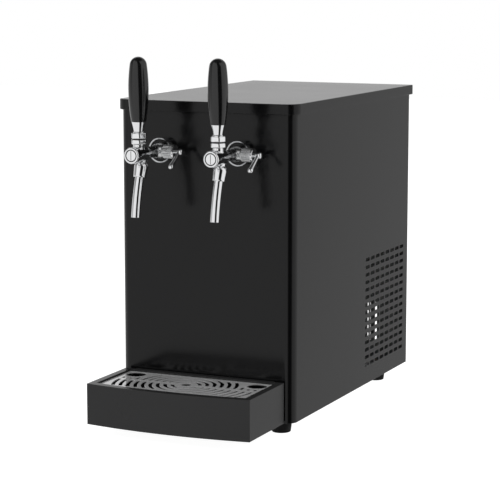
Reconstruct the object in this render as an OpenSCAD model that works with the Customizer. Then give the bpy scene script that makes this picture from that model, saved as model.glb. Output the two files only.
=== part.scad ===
// Two-tap countertop drink cooler.
// Millimetres, +Z up, +X to the right of someone facing the taps, +Y towards the rear.
// The origin lies on the counter, under the middle of the whole machine.

/* [Cabinet] */
// Width of the wrapped body
cab_w = 260; // [240:1:300]
// Depth of the wrapped body
cab_d = 450; // [440:1:520]
// Height of the body from its lower edge to the lid skirt
cab_h = 417; // [405:1:470]
// Outer bend radius of the two front edges
corner_r = 15; // [6:1:18]
// Thickness of the painted sheet
sheet_t = 1.2; // [0.8:0.1:1.6]
// Width of the return flange along each rear edge
flange_w = 14; // [10:1:18]
// Clearance between pieces of folded sheet
sheet_gap = 0.3; // [0.2:0.05:0.6]
// Height of the base pan's upturned edge
pan_lip = 18; // [8:1:24]

/* [Lid] */
// Height of the lid skirt
lid_h = 14.5; // [10:0.5:24]
// Overhang of the lid past the body
lid_lip = 4.3; // [3:0.1:8]

/* [Feet] */
// Height of a rubber foot
foot_h = 15; // [10:1:25]
// Radius of a foot against the cabinet
foot_top_r = 15; // [12:0.5:20]
// Radius of a foot on the counter
foot_tip_r = 13; // [9:0.5:18]
// Distance from a side to the centre of a foot
foot_side = 24; // [22:1:40]
// Distance from the front to the centre of a front foot
foot_front = 17; // [16:1:40]
// Distance from the back to the centre of a rear foot
foot_back = 72; // [30:1:90]

/* [Vents] */
// Columns of side slots
vent_cols = 8; // [1:1:8]
// Rows of side slots
vent_rows = 15; // [1:1:16]
// Length of a side slot
vent_l = 15.5; // [6:0.5:18]
// Height of a side slot
vent_h = 5; // [2:0.5:8]
// Column pitch of the side slots
vent_pitch_y = 20.6; // [19:0.1:21]
// Row pitch of the side slots
vent_pitch_z = 11.2; // [9:0.1:13]
// Distance from the back to the last column's centre
vent_back = 27; // [24:1:40]
// Distance from the lower edge to the lowest row's centre
vent_low = 28.8; // [26:0.2:40]
// Vertical slots in the rear panel
rear_slots = 16; // [1:1:18]
// Height of a rear slot
rear_slot_h = 62; // [20:1:90]
// Width of a rear slot
rear_slot_w = 5; // [2:0.5:7]
// Pitch of the rear slots
rear_slot_pitch = 10.5; // [9:0.5:11]

/* [Drip tray] */
// Width of the tray
tray_w = 240; // [200:1:250]
// Reach of the tray's front corners from the front panel
tray_reach = 118; // [100:1:150]
// Bow of the tray's front past its corners
tray_bow = 10; // [4:0.5:20]
// Height of the tray
tray_h = 56; // [40:1:80]
// Height of the tray's floor above the cabinet's lower edge
tray_lift = 1.8; // [0:0.1:20]
// Thickness of the tray's sheet
tray_t = 1.2; // [0.8:0.1:1.6]
// Gap between the front panel and the tray's back wall
tray_gap = 6.5; // [6:0.1:9]
// Width of the rim along the sides
rim_side = 9; // [6:0.5:14]
// Width of the rim along the front
rim_front = 10; // [6:0.5:16]
// Width of the rim along the back
rim_back = 5; // [4:0.5:12]
// Width of the ledge under the grille
ledge_w = 5; // [3:0.5:8]
// Depth of the grille's face below the rim
grille_drop = 2.4; // [1:0.1:5]
// Thickness of the grille
grille_t = 1.5; // [1:0.1:2.5]
// Clearance round the grille
grille_gap = 0.6; // [0.3:0.1:1]
// Radius of a finger hole
finger_r = 13.5; // [10:0.5:15]
// Distance from the middle to a finger hole
finger_x = 91; // [80:1:92]
// Land between a finger hole and the grille's rear edge
finger_land = 3; // [2:0.5:6]
// Width of a drain slot
drain_w = 5; // [3:0.2:6]
// Distance from the tray's side to the end of the hanging strip behind it
cleat_inset = 25; // [22:1:60]
// Depth of the hook over the hanging strip
hook_h = 10; // [6:0.5:14]

/* [Taps] */
// Distance between the two taps
tap_pitch = 116; // [105:1:124]
// Sideways shift of the pair of taps
tap_shift = -4; // [-8:1:8]
// Distance from the lid down to the tap axis
tap_drop = 52.6; // [42:0.2:60]
// Distance from the front panel to the lever axis
lever_reach = 72; // [70:0.5:80]
// Length of the tap's front cap past the lever axis
cap_reach = 23; // [21:0.5:28]
// Radius of the front cap
cap_r = 11; // [10.6:0.1:13]
// Rim radius of the wall flange
rosette_r = 17; // [16.5:0.5:22]
// Thickness of the wall flange
rosette_t = 12; // [10:0.5:12.5]
// Radius of the barrel at the wall flange
barrel_r = 11; // [10.8:0.1:13]
// Radius of the barrel's neck
neck_r = 7.2; // [6.8:0.1:9]
// Outer radius of the valve chamber
chamber_r = 10; // [9:0.1:10.4]
// Bore radius of the valve chamber
chamber_bore_r = 6.2; // [5.8:0.1:6.6]
// Radius of the threaded shank
shank_r = 8.3; // [7:0.1:8.8]
// Bore radius of the drink way
way_r = 4; // [3:0.1:4.4]
// Clearance between fitted pieces that don't move
seat_gap = 0.15; // [0.1:0.05:0.2]
// Clearance round a turning shaft
run_gap = 0.06; // [0.03:0.01:0.1]
// Clearance between curved pieces that swing
swing_gap = 0.35; // [0.3:0.05:0.5]

/* [Tap lever] */
// Radius of the post under the collar
post_r = 7.8; // [7.6:0.1:9]
// Height of the lever's ball above the tap axis
pivot_lift = 15; // [14.4:0.1:16]
// Height of the collar's underside above the tap axis
collar_lift = 13.6; // [13:0.1:14]
// Height of the collar
collar_h = 7; // [6:0.2:8]
// Corner radius of the hexagons
hex_r = 11.3; // [10.8:0.1:12]
// Height of the swivel cap's top above the tap axis
swivel_top = 29; // [28.6:0.2:34]
// Radius of the lever's ball
ball_r = 5.4; // [5:0.1:5.6]
// Radius of the lever's stem
stem_r = 3; // [2.5:0.1:3.2]
// Radius of the lever's tail
tail_r = 2.2; // [1.8:0.1:2.4]
// Radius of the ball on the tail
toe_r = 2.6; // [2.4:0.1:2.7]
// Largest swing of the lever
lever_swing = 25; // [15:1:25]
// Height of the ferrule
ferrule_h = 14; // [8:0.5:24]
// Lower radius of the ferrule
ferrule_low_r = 6.5; // [5.5:0.1:8]
// Length of the handle
handle_l = 85.5; // [60:0.5:120]
// Radius of the handle at its foot
handle_foot_r = 9.7; // [8.6:0.1:11]
// Largest radius of the handle
handle_max_r = 13.5; // [11.5:0.1:16]
// Height of the handle's widest place
handle_max_at = 48; // [35:0.5:50]

/* [Spout] */
// Distance from the front panel to the spout's root on the tap axis
spout_root = 59.6; // [58:0.2:62]
// Forward tilt of the spout's socket
socket_tilt = 19.4; // [10:0.2:25]
// Length of the socket below the tap axis
socket_l = 33.3; // [26:0.1:40]
// Radius of the socket at its root
socket_root_r = 10.4; // [8:0.1:11]
// Radius of the socket at its mouth
socket_end_r = 8.4; // [7.4:0.1:9.5]
// Radius of the spout
spout_r = 6; // [5:0.1:6.4]
// Wall of the spout
spout_wall = 1.2; // [0.8:0.1:1.8]
// Length of the spout below its socket
spout_l = 53.5; // [30:0.5:70]
// Bend of the spout towards the vertical
spout_bend = 12; // [2:0.5:18]
// Depth of the spout in its socket
spout_depth = 14; // [8:0.5:16]

/* [Flow control] */
// Distance from the front panel to the flow control's axis
flow_reach = 22.6; // [22.4:0.1:26]
// Radius of the flow control's housing
flow_r = 9.6; // [8.4:0.1:9.8]
// Reach of the housing from the tap axis
flow_end = 29.4; // [24:0.2:34]
// Radius of the knob
knob_r = 4.7; // [3.8:0.1:6]
// Length of the knob
knob_l = 10.6; // [10:0.1:18]
// Length of the flow lever
arm_l = 34; // [20:0.5:36]
// Slope of the flow lever below the horizontal
arm_slope = 35; // [0:1:60]
// Radius of the flow lever's arm
arm_r = 2.6; // [1.8:0.1:3]
// Radius of the flow lever's ball end
arm_ball_r = 3.3; // [3.1:0.1:4.5]

/* [Cold block] */
// Width of the aluminium block
block_w = 160; // [150:1:170]
// Depth of the block
block_d = 110; // [80:1:120]
// Height of the block
block_h = 160; // [100:1:165]
// Height of the block's top above the tap axis
block_over = 20; // [16:1:24]
// Distance from the front panel to the block
block_y = 45; // [40:1:50]
// Thickness of the foam round the block
foam_t = 20; // [12:1:22]

/* [Cooling] */
// Radius of the compressor's pot
comp_r = 56; // [40:1:58]
// Height of the compressor's pot
comp_h = 137; // [110:1:150]
// Sideways place of the compressor
comp_x = -40; // [-52:1:-30]
// Distance from the back to the compressor's axis
comp_back = 85; // [74:1:92]
// Height of a rubber mount
mount_h = 10; // [7:0.5:14]
// Room beside the condenser's fin pack for its lines
cond_side = 33.8; // [33:0.1:48]
// Depth of the condenser
cond_depth = 44; // [30:1:46]
// Tubes across the condenser
cond_tubes = 6; // [2:2:6]
// Pitch of the condenser tubes
cond_pitch = 25; // [22:0.5:25]
// Radius of the condenser tube
cond_tube_r = 4; // [3:0.1:5]
// Fins of the condenser
fins = 20; // [4:1:24]
// Thickness of a fin
fin_t = 0.8; // [0.4:0.1:1.2]
// Radius of the fan
fan_r = 72; // [60:1:73]
// Length of the fan motor
motor_l = 38; // [30:1:42]
// Radius of the fan motor
motor_r = 30; // [24:1:32]
// Blades of the fan
blades = 5; // [3:1:7]

/* [Rear fittings] */
// Distance of each drink inlet from the middle
inlet_x = 32; // [22:1:40]
// Height of the drink inlets above the cabinet's lower edge
inlet_height = 320; // [300:1:360]
// Radius of the supply tube
supply_r = 4.76; // [3.9:0.01:4.8]
// Depth of the inlet's socket
supply_depth = 20; // [12:0.5:21]
// Height of the thermostat, switch and power inlet
panel_height = 250; // [235:1:270]
// Distance of the thermostat from its side of the body
thermo_side = 45; // [38:1:52]
// Distance of the power inlet from its side of the body
power_side = 42; // [36:1:46]
// Distance between the power inlet and the switch
switch_pitch = 38; // [32:1:42]

/* [Hidden] */
$fn = 64;

paint = "#1c1c1e";
chrome = "#c9ccd0";
steel = "#9a9da1";
copper = "#b5714a";
black_plastic = "#161617";
rubber = "#202020";
foam = "#e6dfc8";

// A cut runs past the faces that it opens by this much.
over = 1;

// Cabinet
inner_w = cab_w - 2 * sheet_t;
shell_h = cab_h + lid_h - sheet_t;
pan_top = foot_h + sheet_t;
lid_z = foot_h + cab_h;
rear_inner = cab_d - 2 * sheet_t;
screw_r = 1.9;
screw_head_r = 3.6;
screw_head_h = 2.2;
screw_x = inner_w / 2 - flange_w / 2;
screw_rise = 40;
screw_rows = 4;
screw_pitch = (shell_h - 2 * screw_rise) / (screw_rows - 1);
foot_x = cab_w / 2 - foot_side;
foot_ys = [foot_front, cab_d - foot_back];
foot_recess_r = 6;
foot_recess_h = 6;
intake_slots = 9;
intake_l = 70;
intake_w = 6;
intake_pitch = 16;
intake_y = 60;

// Places of the whole
inlet_out = supply_depth + 2;
bow_reach = tray_reach + tray_bow;
shift_y = (bow_reach - cab_d - inlet_out) / 2;

// Drip tray
tray_z = foot_h + tray_lift;
tray_top = tray_z + tray_h;
bow_r = (tray_w * tray_w / 4 + tray_bow * tray_bow) / (2 * tray_bow);
ledge_top = tray_top - grille_drop - grille_t;
plate_side = rim_side + tray_t + grille_gap;
plate_front = rim_front + tray_t + grille_gap;
plate_back = rim_back + tray_t + grille_gap;
plate_rear_y = -tray_gap - plate_back;
finger_y = plate_rear_y - finger_land - finger_r;
plate_mid_y = (plate_rear_y - tray_reach + plate_front) / 2;
cleat_w = tray_w - 2 * cleat_inset;
cleat_wall = 1.2;
hook_gap = 0.6;
hook_w = cleat_w + 20;
cleat_lip_y = -tray_gap + hook_gap;
hook_y = cleat_lip_y + cleat_wall + hook_gap;
cleat_top = tray_top - tray_t - sheet_gap;
cleat_low = cleat_top - hook_h - 2 * hook_gap - cleat_wall;
bumper_r = 9;
bumper_x = (tray_w - cleat_inset) / 2;
bumper_z = tray_z + 14;

// Taps
tap_z = lid_z - tap_drop;
function tap_x(side) = tap_shift + side * tap_pitch / 2;
dish_t = 3;
dish_y = -rosette_t + dish_t;
shank_grip = 5;
socket_end_y = dish_y - shank_grip;
neck_back = 22;
neck_y = -lever_reach + neck_back;
chamber_back = 14;
chamber_y = -lever_reach + chamber_back;
cap_front = -lever_reach - cap_reach;
cap_depth = 8;
chamber_front = cap_front + cap_depth;
boss_l = 13;
boss_wall = 0.5;
socket_bury = 4;
cap_skirt = 4;
plunger_r = chamber_bore_r - swing_gap;
plunger_half = 12.5;
plunger_travel = pivot_lift * lever_swing * PI / 180;
bore_back = -lever_reach + plunger_half + plunger_travel + 1;
slot_half = pivot_lift * tan(lever_swing) - chamber_bore_r * tan(lever_swing)
          + tail_r / cos(lever_swing) + 2 * swing_gap;
slot_top = slot_half - (collar_lift - chamber_bore_r) * tan(lever_swing);
slot_w = 2 * tail_r + 1.6;
dome_r = sqrt(pow(hex_r, 2) + pow(collar_lift + collar_h - pivot_lift, 2)) + 0.1;
mouth_r = stem_r / cos(lever_swing) + swing_gap;
ferrule_z = swivel_top + 1;
handle_z = ferrule_z + ferrule_h;
stem_top = handle_z + 0.35 * handle_l;
nut_h = 8;
nut_r = 15;

// Cold block and its foam
block_x = tap_shift;
block_top = tap_z + block_over;
block_z = block_top - block_h;
foam_z = block_z - foam_t;
foam_top = block_top + foam_t;
foam_y0 = block_y - foam_t;
foam_y1 = block_y + block_d + foam_t;
foam_split = block_y + block_d / 2;
foam_w = block_w + 2 * foam_t;
hole_gap = 0.5;

// Cooling unit, placed from the back towards the front
comp_y = cab_d - comp_back;
pot_z = pan_top + 6;
plate_z = pan_top + mount_h;
plate_t = 2.5;
relay_w = 52;
relay_h = 30;
relay_rise = 32;
relay_in = 20;
plate_x = comp_r + 2;
plate_y = comp_r - 8;
mount_r = 9;
mount_inset = 12;
motor_y1 = comp_y - comp_r - 9;
motor_y0 = motor_y1 - motor_l;
fan_depth = 24;
fan_y = motor_y0 - 10 - fan_depth;
ring_gap = 4;
ring_t = 1.5;
shroud_t = 1.5;
shroud_y = fan_y - 5;
shroud_depth = 18;
cond_w = inner_w - 2 * cond_side;
shroud_w = cond_w + 14;
bracket_w = 12;
bracket_t = 2;
bracket_grip = 12;
cond_h = cond_tubes * cond_pitch;
fan_z = pan_top + 14 + cond_h / 2;
cond_z = fan_z - cond_h / 2;
cond_y1 = shroud_y - sheet_gap;
cond_y0 = cond_y1 - cond_depth;
cond_mid = (cond_y0 + cond_y1) / 2;
tube_end = cond_w / 2 + 5;
hub_r = 18;
axle_r = 3;
drier_r = 9;
drier_l = 80;
drier_side = 17;
drier_back = 40;
drier_x = inner_w / 2 - drier_side;
drier_y = cond_mid + drier_back;
line_r = 3.2;
line_bend = 10;
line_out = 30;
line_drop = 10;
line_stub = 4;
suction_r = 4.5;
discharge_rise = 95;
discharge_z = pot_z + discharge_rise;
suction_side = 16;
suction_front = 25;
suction_out = 6;
suction_stub = [comp_x - suction_side, comp_y - suction_front, pot_z + comp_h + suction_out];
suction_rise = 55;
suction_z = block_z + suction_rise;
capillary_r = 1.2;
capillary_x = 55;
capillary_rise = 40;
capillary_z = block_z + capillary_rise;

// Rear fittings
thermo_x = cab_w / 2 - thermo_side;
power_x = cab_w / 2 - power_side;
switch_x = power_x - switch_pitch;
inlet_z = foot_h + inlet_height;
panel_z = foot_h + panel_height;
fitting_r = 9.5;
thread_r = 8;
fitting_in = 26;
line_rise = 25;
line_z = block_z + line_rise;
line_turn = 70;
thermo_w = 36;
thermo_h = 44;
thermo_in = 34;
thermo_set = 4;
knob_shaft_r = 3;
dial_r = 15;
dial_h = 14;
rocker_tilt = 8;
rocker_w = 10.6;
rocker_half = 7.6;
frame_w = 15;
frame_h = 23;
frame_in = 16;
power_w = 27;
power_h = 20;
power_in = 22;

// Helpers

// A cylinder along X
module xcyl(r, x0, x1) {
  translate([x0, 0, 0]) rotate([0, 90, 0]) cylinder(r = r, h = x1 - x0);
}

// A cylinder along Y
module ycyl(r, y0, y1) {
  translate([0, y0, 0]) rotate([-90, 0, 0]) cylinder(r = r, h = y1 - y0);
}

// A profile of radius and place, turned about Y
module yspin() {
  rotate([-90, 0, 0]) rotate_extrude() children();
}

// A box given by its middle in X and by its ends in Y and Z
module block(w, y0, y1, z0, z1) {
  translate([-w / 2, y0, z0]) cube([w, y1 - y0, z1 - z0]);
}

// A flat outline in X and Z, with its rear face at y and its thickness towards the front
module upright(y, t) {
  translate([0, y, 0]) rotate([90, 0, 0]) linear_extrude(t) children();
}

// A flat outline in Y and Z, drawn out along X
module along_x(x0, x1) {
  translate([x0, 0, 0]) rotate([90, 0, 90]) linear_extrude(x1 - x0) children();
}

// A rectangle with its two front corners rounded
module plan(w, y0, y1, r) {
  translate([-w / 2, y0 + r]) square([w, y1 - y0 - r]);
  translate([-w / 2 + r, y0]) square([w - 2 * r, r + over]);
  for (s = [-1, 1]) translate([s * (w / 2 - r), y0 + r]) circle(r);
}

// A punched slot with clipped corners
module punched(l, h) {
  c = min(l, h) / 4;
  x = l / 2;
  y = h / 2;
  polygon([
    [-x + c, -y], [x - c, -y], [x, -y + c], [x, y - c],
    [x - c, y], [-x + c, y], [-x, y - c], [-x, -y + c]
  ]);
}

function unit(v) = v / norm(v);
function turn(a, b, c) = acos(unit(b - a) * unit(c - b));
function setback(a, b, c, bend) = bend * tan(turn(a, b, c) / 2);

// A straight rod from a to b
module rod(a, b, r) {
  d = b - a;
  translate(a) rotate([0, acos(d.z / norm(d)), atan2(d.y, d.x)]) cylinder(r = r, h = norm(d));
}

// A round bend at b, on the way from a to c
module elbow(a, b, c, r, bend) {
  u = unit(b - a);
  v = unit(c - b);
  n = unit(v - (u * v) * u);
  w = cross(-n, u);
  o = b - setback(a, b, c, bend) * u + bend * n;
  multmatrix([
    [-n.x, u.x, w.x, o.x],
    [-n.y, u.y, w.y, o.y],
    [-n.z, u.z, w.z, o.z],
    [0, 0, 0, 1]
  ])
    rotate_extrude(angle = turn(a, b, c)) translate([bend, 0]) circle(r);
}

// A bent tube through the points
module pipe(p, r, bend) {
  last = len(p) - 1;
  for (i = [1 : last]) {
    d = unit(p[i] - p[i - 1]);
    a = i > 1 ? p[i - 1] + setback(p[i - 2], p[i - 1], p[i], bend) * d : p[i - 1];
    b = i < last ? p[i] - setback(p[i - 1], p[i], p[i + 1], bend) * d : p[i];
    if (norm(b - a) > 0.01) rod(a, b, r);
  }
  for (i = [1 : 1 : last - 1]) elbow(p[i - 1], p[i], p[i + 1], r, bend);
}

// Cabinet

module shell_section() {
  difference() {
    plan(cab_w, 0, cab_d, corner_r);
    plan(inner_w, sheet_t, rear_inner, corner_r - sheet_t);
    translate([-inner_w / 2, cab_d - sheet_t]) square([inner_w, sheet_t + over]);
    translate([-inner_w / 2 + flange_w, rear_inner - over])
      square([inner_w - 2 * flange_w, 2 * sheet_t + over]);
  }
}

module side_vents() {
  along_x(-cab_w / 2 - over, cab_w / 2 + over)
    for (i = [0 : vent_cols - 1], j = [0 : vent_rows - 1])
      translate([cab_d - vent_back - i * vent_pitch_y, foot_h + vent_low + j * vent_pitch_z])
        punched(vent_l, vent_h);
}

module at_screws() {
  for (s = [-1, 1], i = [0 : screw_rows - 1])
    translate([s * screw_x, 0, foot_h + screw_rise + i * screw_pitch]) children();
}

module at_feet() {
  for (s = [-1, 1], y = foot_ys) translate([s * foot_x, y, 0]) children();
}

module at_taps() {
  for (s = [-1, 1]) translate([tap_x(s), 0, tap_z]) children();
}

module cabinet_shell() {
  color(paint) difference() {
    translate([0, 0, foot_h]) linear_extrude(shell_h) shell_section();
    side_vents();
    at_taps() ycyl(shank_r + hole_gap, -over, sheet_t + over);
    at_screws() ycyl(screw_r + seat_gap, rear_inner - over, cab_d);
  }
}

module base_pan() {
  edge = sheet_t + sheet_gap;
  w = cab_w - 2 * edge;
  rear = rear_inner - sheet_gap;
  color(steel) difference() {
    translate([0, 0, foot_h]) linear_extrude(pan_lip) plan(w, edge, rear, corner_r - edge);
    translate([0, 0, pan_top]) linear_extrude(pan_lip)
      plan(w - 2 * sheet_t, edge + sheet_t, rear - sheet_t, corner_r - edge - sheet_t);
    at_feet() translate([0, 0, foot_h - over]) cylinder(r = screw_r + seat_gap, h = pan_lip);
    for (i = [0 : intake_slots - 1])
      translate([(i - (intake_slots - 1) / 2) * intake_pitch, intake_y, foot_h - over])
        linear_extrude(sheet_t + 2 * over) translate([0, intake_l / 2]) punched(intake_w, intake_l);
  }
}

module rear_panel() {
  w = inner_w - 2 * sheet_gap;
  color(paint) upright(cab_d, sheet_t) difference() {
    translate([-w / 2, foot_h]) square([w, shell_h]);
    for (i = [0 : rear_slots - 1])
      translate([(i - (rear_slots - 1) / 2) * rear_slot_pitch, foot_h + vent_low + rear_slot_h / 2])
        punched(rear_slot_w, rear_slot_h);
    for (s = [-1, 1]) translate([s * inlet_x, inlet_z]) circle(thread_r + hole_gap);
    translate([-thermo_x, panel_z]) circle(knob_shaft_r + hole_gap);
    translate([switch_x, panel_z]) square([frame_w - 1.6, frame_h - 1.6], center = true);
    translate([power_x, panel_z]) square([power_w + seat_gap, power_h + seat_gap], center = true);
    for (s = [-1, 1], i = [0 : screw_rows - 1])
      translate([s * screw_x, foot_h + screw_rise + i * screw_pitch]) circle(screw_r + seat_gap);
  }
}

module lid_outline(inset) {
  w = cab_w + 2 * lid_lip - 2 * inset;
  plan(w, inset - lid_lip, cab_d + lid_lip - inset, corner_r + lid_lip - inset);
}

module top_lid() {
  color(paint) translate([0, 0, lid_z]) difference() {
    linear_extrude(lid_h) lid_outline(0);
    translate([0, 0, sheet_t]) linear_extrude(lid_h - 2 * sheet_t) lid_outline(sheet_t);
    translate([0, 0, -over]) linear_extrude(sheet_t + 2 * over) lid_outline(lid_lip - sheet_gap);
  }
}

module rubber_feet() {
  color(rubber) at_feet() difference() {
    cylinder(r1 = foot_tip_r, r2 = foot_top_r, h = foot_h);
    translate([0, 0, -over]) cylinder(r = foot_recess_r, h = foot_recess_h + over);
    cylinder(r = screw_r + seat_gap, h = foot_h + over);
  }
}

module case_screws() {
  color(steel) {
    at_screws() {
      ycyl(screw_head_r, cab_d, cab_d + screw_head_h);
      ycyl(screw_r, cab_d - 10, cab_d + over);
    }
    at_feet() {
      translate([0, 0, foot_recess_h - screw_head_h]) cylinder(r = screw_head_r, h = screw_head_h);
      translate([0, 0, foot_recess_h - over]) cylinder(r = screw_r, h = foot_h - foot_recess_h + 6);
    }
  }
}

// Cooling unit

module compressor() {
  crown = 1.34 * comp_r;
  color("#26272a") translate([comp_x, comp_y, 0]) difference() {
    union() {
      translate([0, 0, pot_z]) rotate_extrude() intersection() {
        square([comp_r, comp_h]);
        translate([0, comp_h - crown]) circle(crown);
        translate([0, crown]) circle(crown);
      }
      translate([0, 0, pot_z + comp_h / 2]) cylinder(r = comp_r + 2.5, h = 5, center = true);
      block(2 * plate_x, -plate_y, plate_y, plate_z, plate_z + plate_t);
      translate([0, 0, discharge_z]) xcyl(line_r + 0.8, 0, comp_r + 6);
      translate([suction_stub.x - comp_x, suction_stub.y - comp_y, pot_z + comp_h / 2])
        cylinder(r = suction_r + 0.8, h = suction_stub.z - pot_z - comp_h / 2);
    }
    compressor_bolts() cylinder(r = 4.3, h = 3 * plate_t, center = true);
  }
}

// The four bolt places on the compressor's plate
module compressor_bolts() {
  for (s = [-1, 1], t = [-1, 1])
    translate([s * (plate_x - mount_inset), t * (plate_y - mount_inset), plate_z]) children();
}

module compressor_mounts() {
  color(rubber) translate([comp_x, comp_y, 0]) compressor_bolts() {
    translate([0, 0, -mount_h]) cylinder(r = mount_r, h = mount_h);
    translate([0, 0, -over]) cylinder(r = 4, h = plate_t + 2 + over);
  }
}

module relay_cover() {
  reach = (inner_w / 2 + comp_x - comp_r) * 0.75;
  color(black_plastic) difference() {
    translate([comp_x - comp_r - reach, comp_y - relay_w / 2, pot_z + relay_rise])
      cube([reach + relay_in, relay_w, relay_h]);
    translate([comp_x, comp_y, 0]) cylinder(r = comp_r + seat_gap, h = 3 * comp_h);
  }
}

function tube_z(i) = cond_z + (i + 0.5) * cond_pitch;
function pass_end(i) = (i % 2 == 0 ? -1 : 1) * tube_end;

module condenser_fins() {
  step = (cond_w - fin_t) / (fins - 1);
  color("#b9bdc2") for (i = [0 : fins - 1])
    translate([-cond_w / 2 + i * step, 0, 0]) difference() {
      translate([0, cond_y0, cond_z]) cube([fin_t, cond_depth, cond_h]);
      for (k = [0 : cond_tubes - 1])
        translate([0, cond_mid, tube_z(k)]) xcyl(cond_tube_r + seat_gap, -over, fin_t + over);
    }
}

module condenser_tube() {
  bend = cond_pitch / 2;
  corners = [
    for (i = [0 : cond_tubes - 2]) each [
      [pass_end(i) + sign(pass_end(i)) * bend, cond_mid, tube_z(i)],
      [pass_end(i) + sign(pass_end(i)) * bend, cond_mid, tube_z(i + 1)]
    ]
  ];
  end_x = tube_end + line_stub;
  ends = [[end_x, cond_mid, tube_z(0)], [end_x, cond_mid, tube_z(cond_tubes - 1)]];
  color(copper) pipe(concat([ends[0]], corners, [ends[1]]), cond_tube_r, bend);
}

module fan_shroud() {
  color(steel) difference() {
    union() {
      block(shroud_w, shroud_y, shroud_y + shroud_t, pan_top, cond_z + cond_h + 4);
      block(shroud_w, shroud_y, shroud_y + shroud_depth, pan_top, pan_top + shroud_t);
      translate([0, 0, fan_z])
        ycyl(fan_r + ring_gap + ring_t, shroud_y, shroud_y + shroud_depth);
    }
    translate([0, 0, fan_z])
      ycyl(fan_r + ring_gap, shroud_y - over, shroud_y + shroud_depth + over);
  }
}

module fan_motor() {
  color("#33353a") translate([0, 0, fan_z]) difference() {
    union() {
      ycyl(motor_r, motor_y0 + 4, motor_y1);
      ycyl(motor_r - 5, motor_y0, motor_y1);
    }
    ycyl(axle_r + run_gap, motor_y0 - over, motor_y0 + 14);
  }
}

module fan_bracket() {
  y0 = motor_y0 + 8;
  y1 = y0 + bracket_grip;
  leg_r = fan_r + ring_gap + ring_t + 3;
  color(steel) translate([0, 0, fan_z]) {
    difference() {
      union() {
        ycyl(motor_r + 3, y0, y1);
        for (a = [90, 210, 330]) rotate([0, a, 0])
          translate([motor_r, y0, -bracket_w / 2])
            cube([leg_r + bracket_t - motor_r, bracket_t, bracket_w]);
      }
      ycyl(motor_r + seat_gap, y0 - over, y1 + over);
    }
    for (a = [90, 210, 330]) rotate([0, a, 0])
      translate([leg_r, shroud_y + shroud_t, -bracket_w / 2])
        cube([bracket_t, y0 + bracket_t - shroud_y - shroud_t, bracket_w]);
  }
}

module fan_blade() {
  camber_r = 70;
  chord = 52;
  pitch = 28;
  color(black_plastic) translate([0, fan_y, fan_z]) {
    ycyl(hub_r, 2, fan_depth - 2);
    ycyl(axle_r, fan_depth - 3, fan_depth + 20);
    for (k = [0 : blades - 1]) rotate([0, k * 360 / blades, 0]) intersection() {
      difference() {
        ycyl(fan_r, 0, fan_depth);
        ycyl(hub_r - over, -over, fan_depth + over);
      }
      translate([0, fan_depth / 2, 0]) rotate([0, 0, pitch]) translate([0, camber_r - 1, 0])
        difference() {
          cylinder(r = camber_r + 0.8, h = fan_r);
          translate([0, 0, -over]) cylinder(r = camber_r - 0.8, h = fan_r + 2 * over);
          translate([0, camber_r / 2, fan_r / 2])
            cube([3 * camber_r, 2.8 * camber_r, 2 * fan_r], center = true);
          for (s = [-1, 1]) translate([s * (chord / 2 + camber_r), 0, fan_r / 2])
            cube([2 * camber_r, 3 * camber_r, 2 * fan_r], center = true);
        }
    }
  }
}

drier_z0 = tube_z(0) + 18;
drier_z1 = drier_z0 + drier_l;

module filter_drier() {
  color(copper) translate([drier_x, drier_y, 0]) rotate_extrude() polygon([
    [0, drier_z0], [line_r + 1, drier_z0], [line_r + 1, drier_z0 + 6], [drier_r, drier_z0 + 14],
    [drier_r, drier_z1 - 14], [capillary_r + 1.5, drier_z1 - 6], [capillary_r + 1.5, drier_z1],
    [0, drier_z1]
  ]);
}

module liquid_line() {
  z = tube_z(0);
  color(copper) pipe([
    [tube_end + line_stub, cond_mid, z], [drier_x, cond_mid, z], [drier_x, drier_y, z],
    [drier_x, drier_y, drier_z0]
  ], line_r, min(line_bend, (drier_x - tube_end - line_stub) * 0.95));
}

module discharge_line() {
  x = comp_x + comp_r + 6;
  turn_x = x + line_out;
  rise = foam_z - line_drop;
  z = tube_z(cond_tubes - 1);
  color(copper) pipe([
    [x, comp_y, discharge_z], [turn_x, comp_y, discharge_z], [turn_x, comp_y, rise],
    [turn_x, cond_mid, rise], [drier_x, cond_mid, rise], [drier_x, cond_mid, z],
    [tube_end + line_stub, cond_mid, z]
  ], line_r, min(line_bend, (drier_x - tube_end - line_stub) * 0.95));
}

module capillary_tube() {
  color(copper) pipe([
    [drier_x, drier_y, drier_z1], [drier_x, drier_y, capillary_z],
    [capillary_x, drier_y, capillary_z], [capillary_x, block_y + block_d, capillary_z]
  ], capillary_r, 6);
}

module suction_line() {
  color(copper) pipe([
    suction_stub, [suction_stub.x, suction_stub.y, suction_z],
    [suction_stub.x, block_y + block_d, suction_z]
  ], suction_r, 22);
}

// Cold block

module cold_block() {
  color("#c3c6c9") difference() {
    translate([block_x, 0, 0]) block(block_w, block_y, block_y + block_d, block_z, block_top);
    at_taps() ycyl(way_r, block_y - over, block_y + 16);
    for (s = [-1, 1]) translate([s * inlet_x, 0, line_z])
      ycyl(way_r - 1, block_y + block_d - 16, block_y + block_d + over);
  }
}

module foam_box() {
  difference() {
    translate([block_x, 0, 0]) block(foam_w, foam_y0, foam_y1, foam_z, foam_top);
    translate([block_x, 0, 0])
      block(block_w + 2 * sheet_gap, block_y - sheet_gap, block_y + block_d + sheet_gap,
            block_z, block_top + sheet_gap);
    at_taps() ycyl(shank_r + hole_gap, foam_y0 - over, block_y + over);
    translate([capillary_x, 0, capillary_z])
      ycyl(capillary_r + hole_gap, foam_split + over, foam_y1 + over);
    translate([suction_stub.x, 0, suction_z])
      ycyl(suction_r + hole_gap, foam_split + over, foam_y1 + over);
    for (s = [-1, 1]) translate([s * inlet_x, 0, line_z])
      ycyl(supply_r + hole_gap, foam_split + over, foam_y1 + over);
  }
}

module insulation_front() {
  color(foam) intersection() {
    foam_box();
    block(2 * cab_w, 0, foam_split, 0, 2 * tap_z);
  }
}

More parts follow.
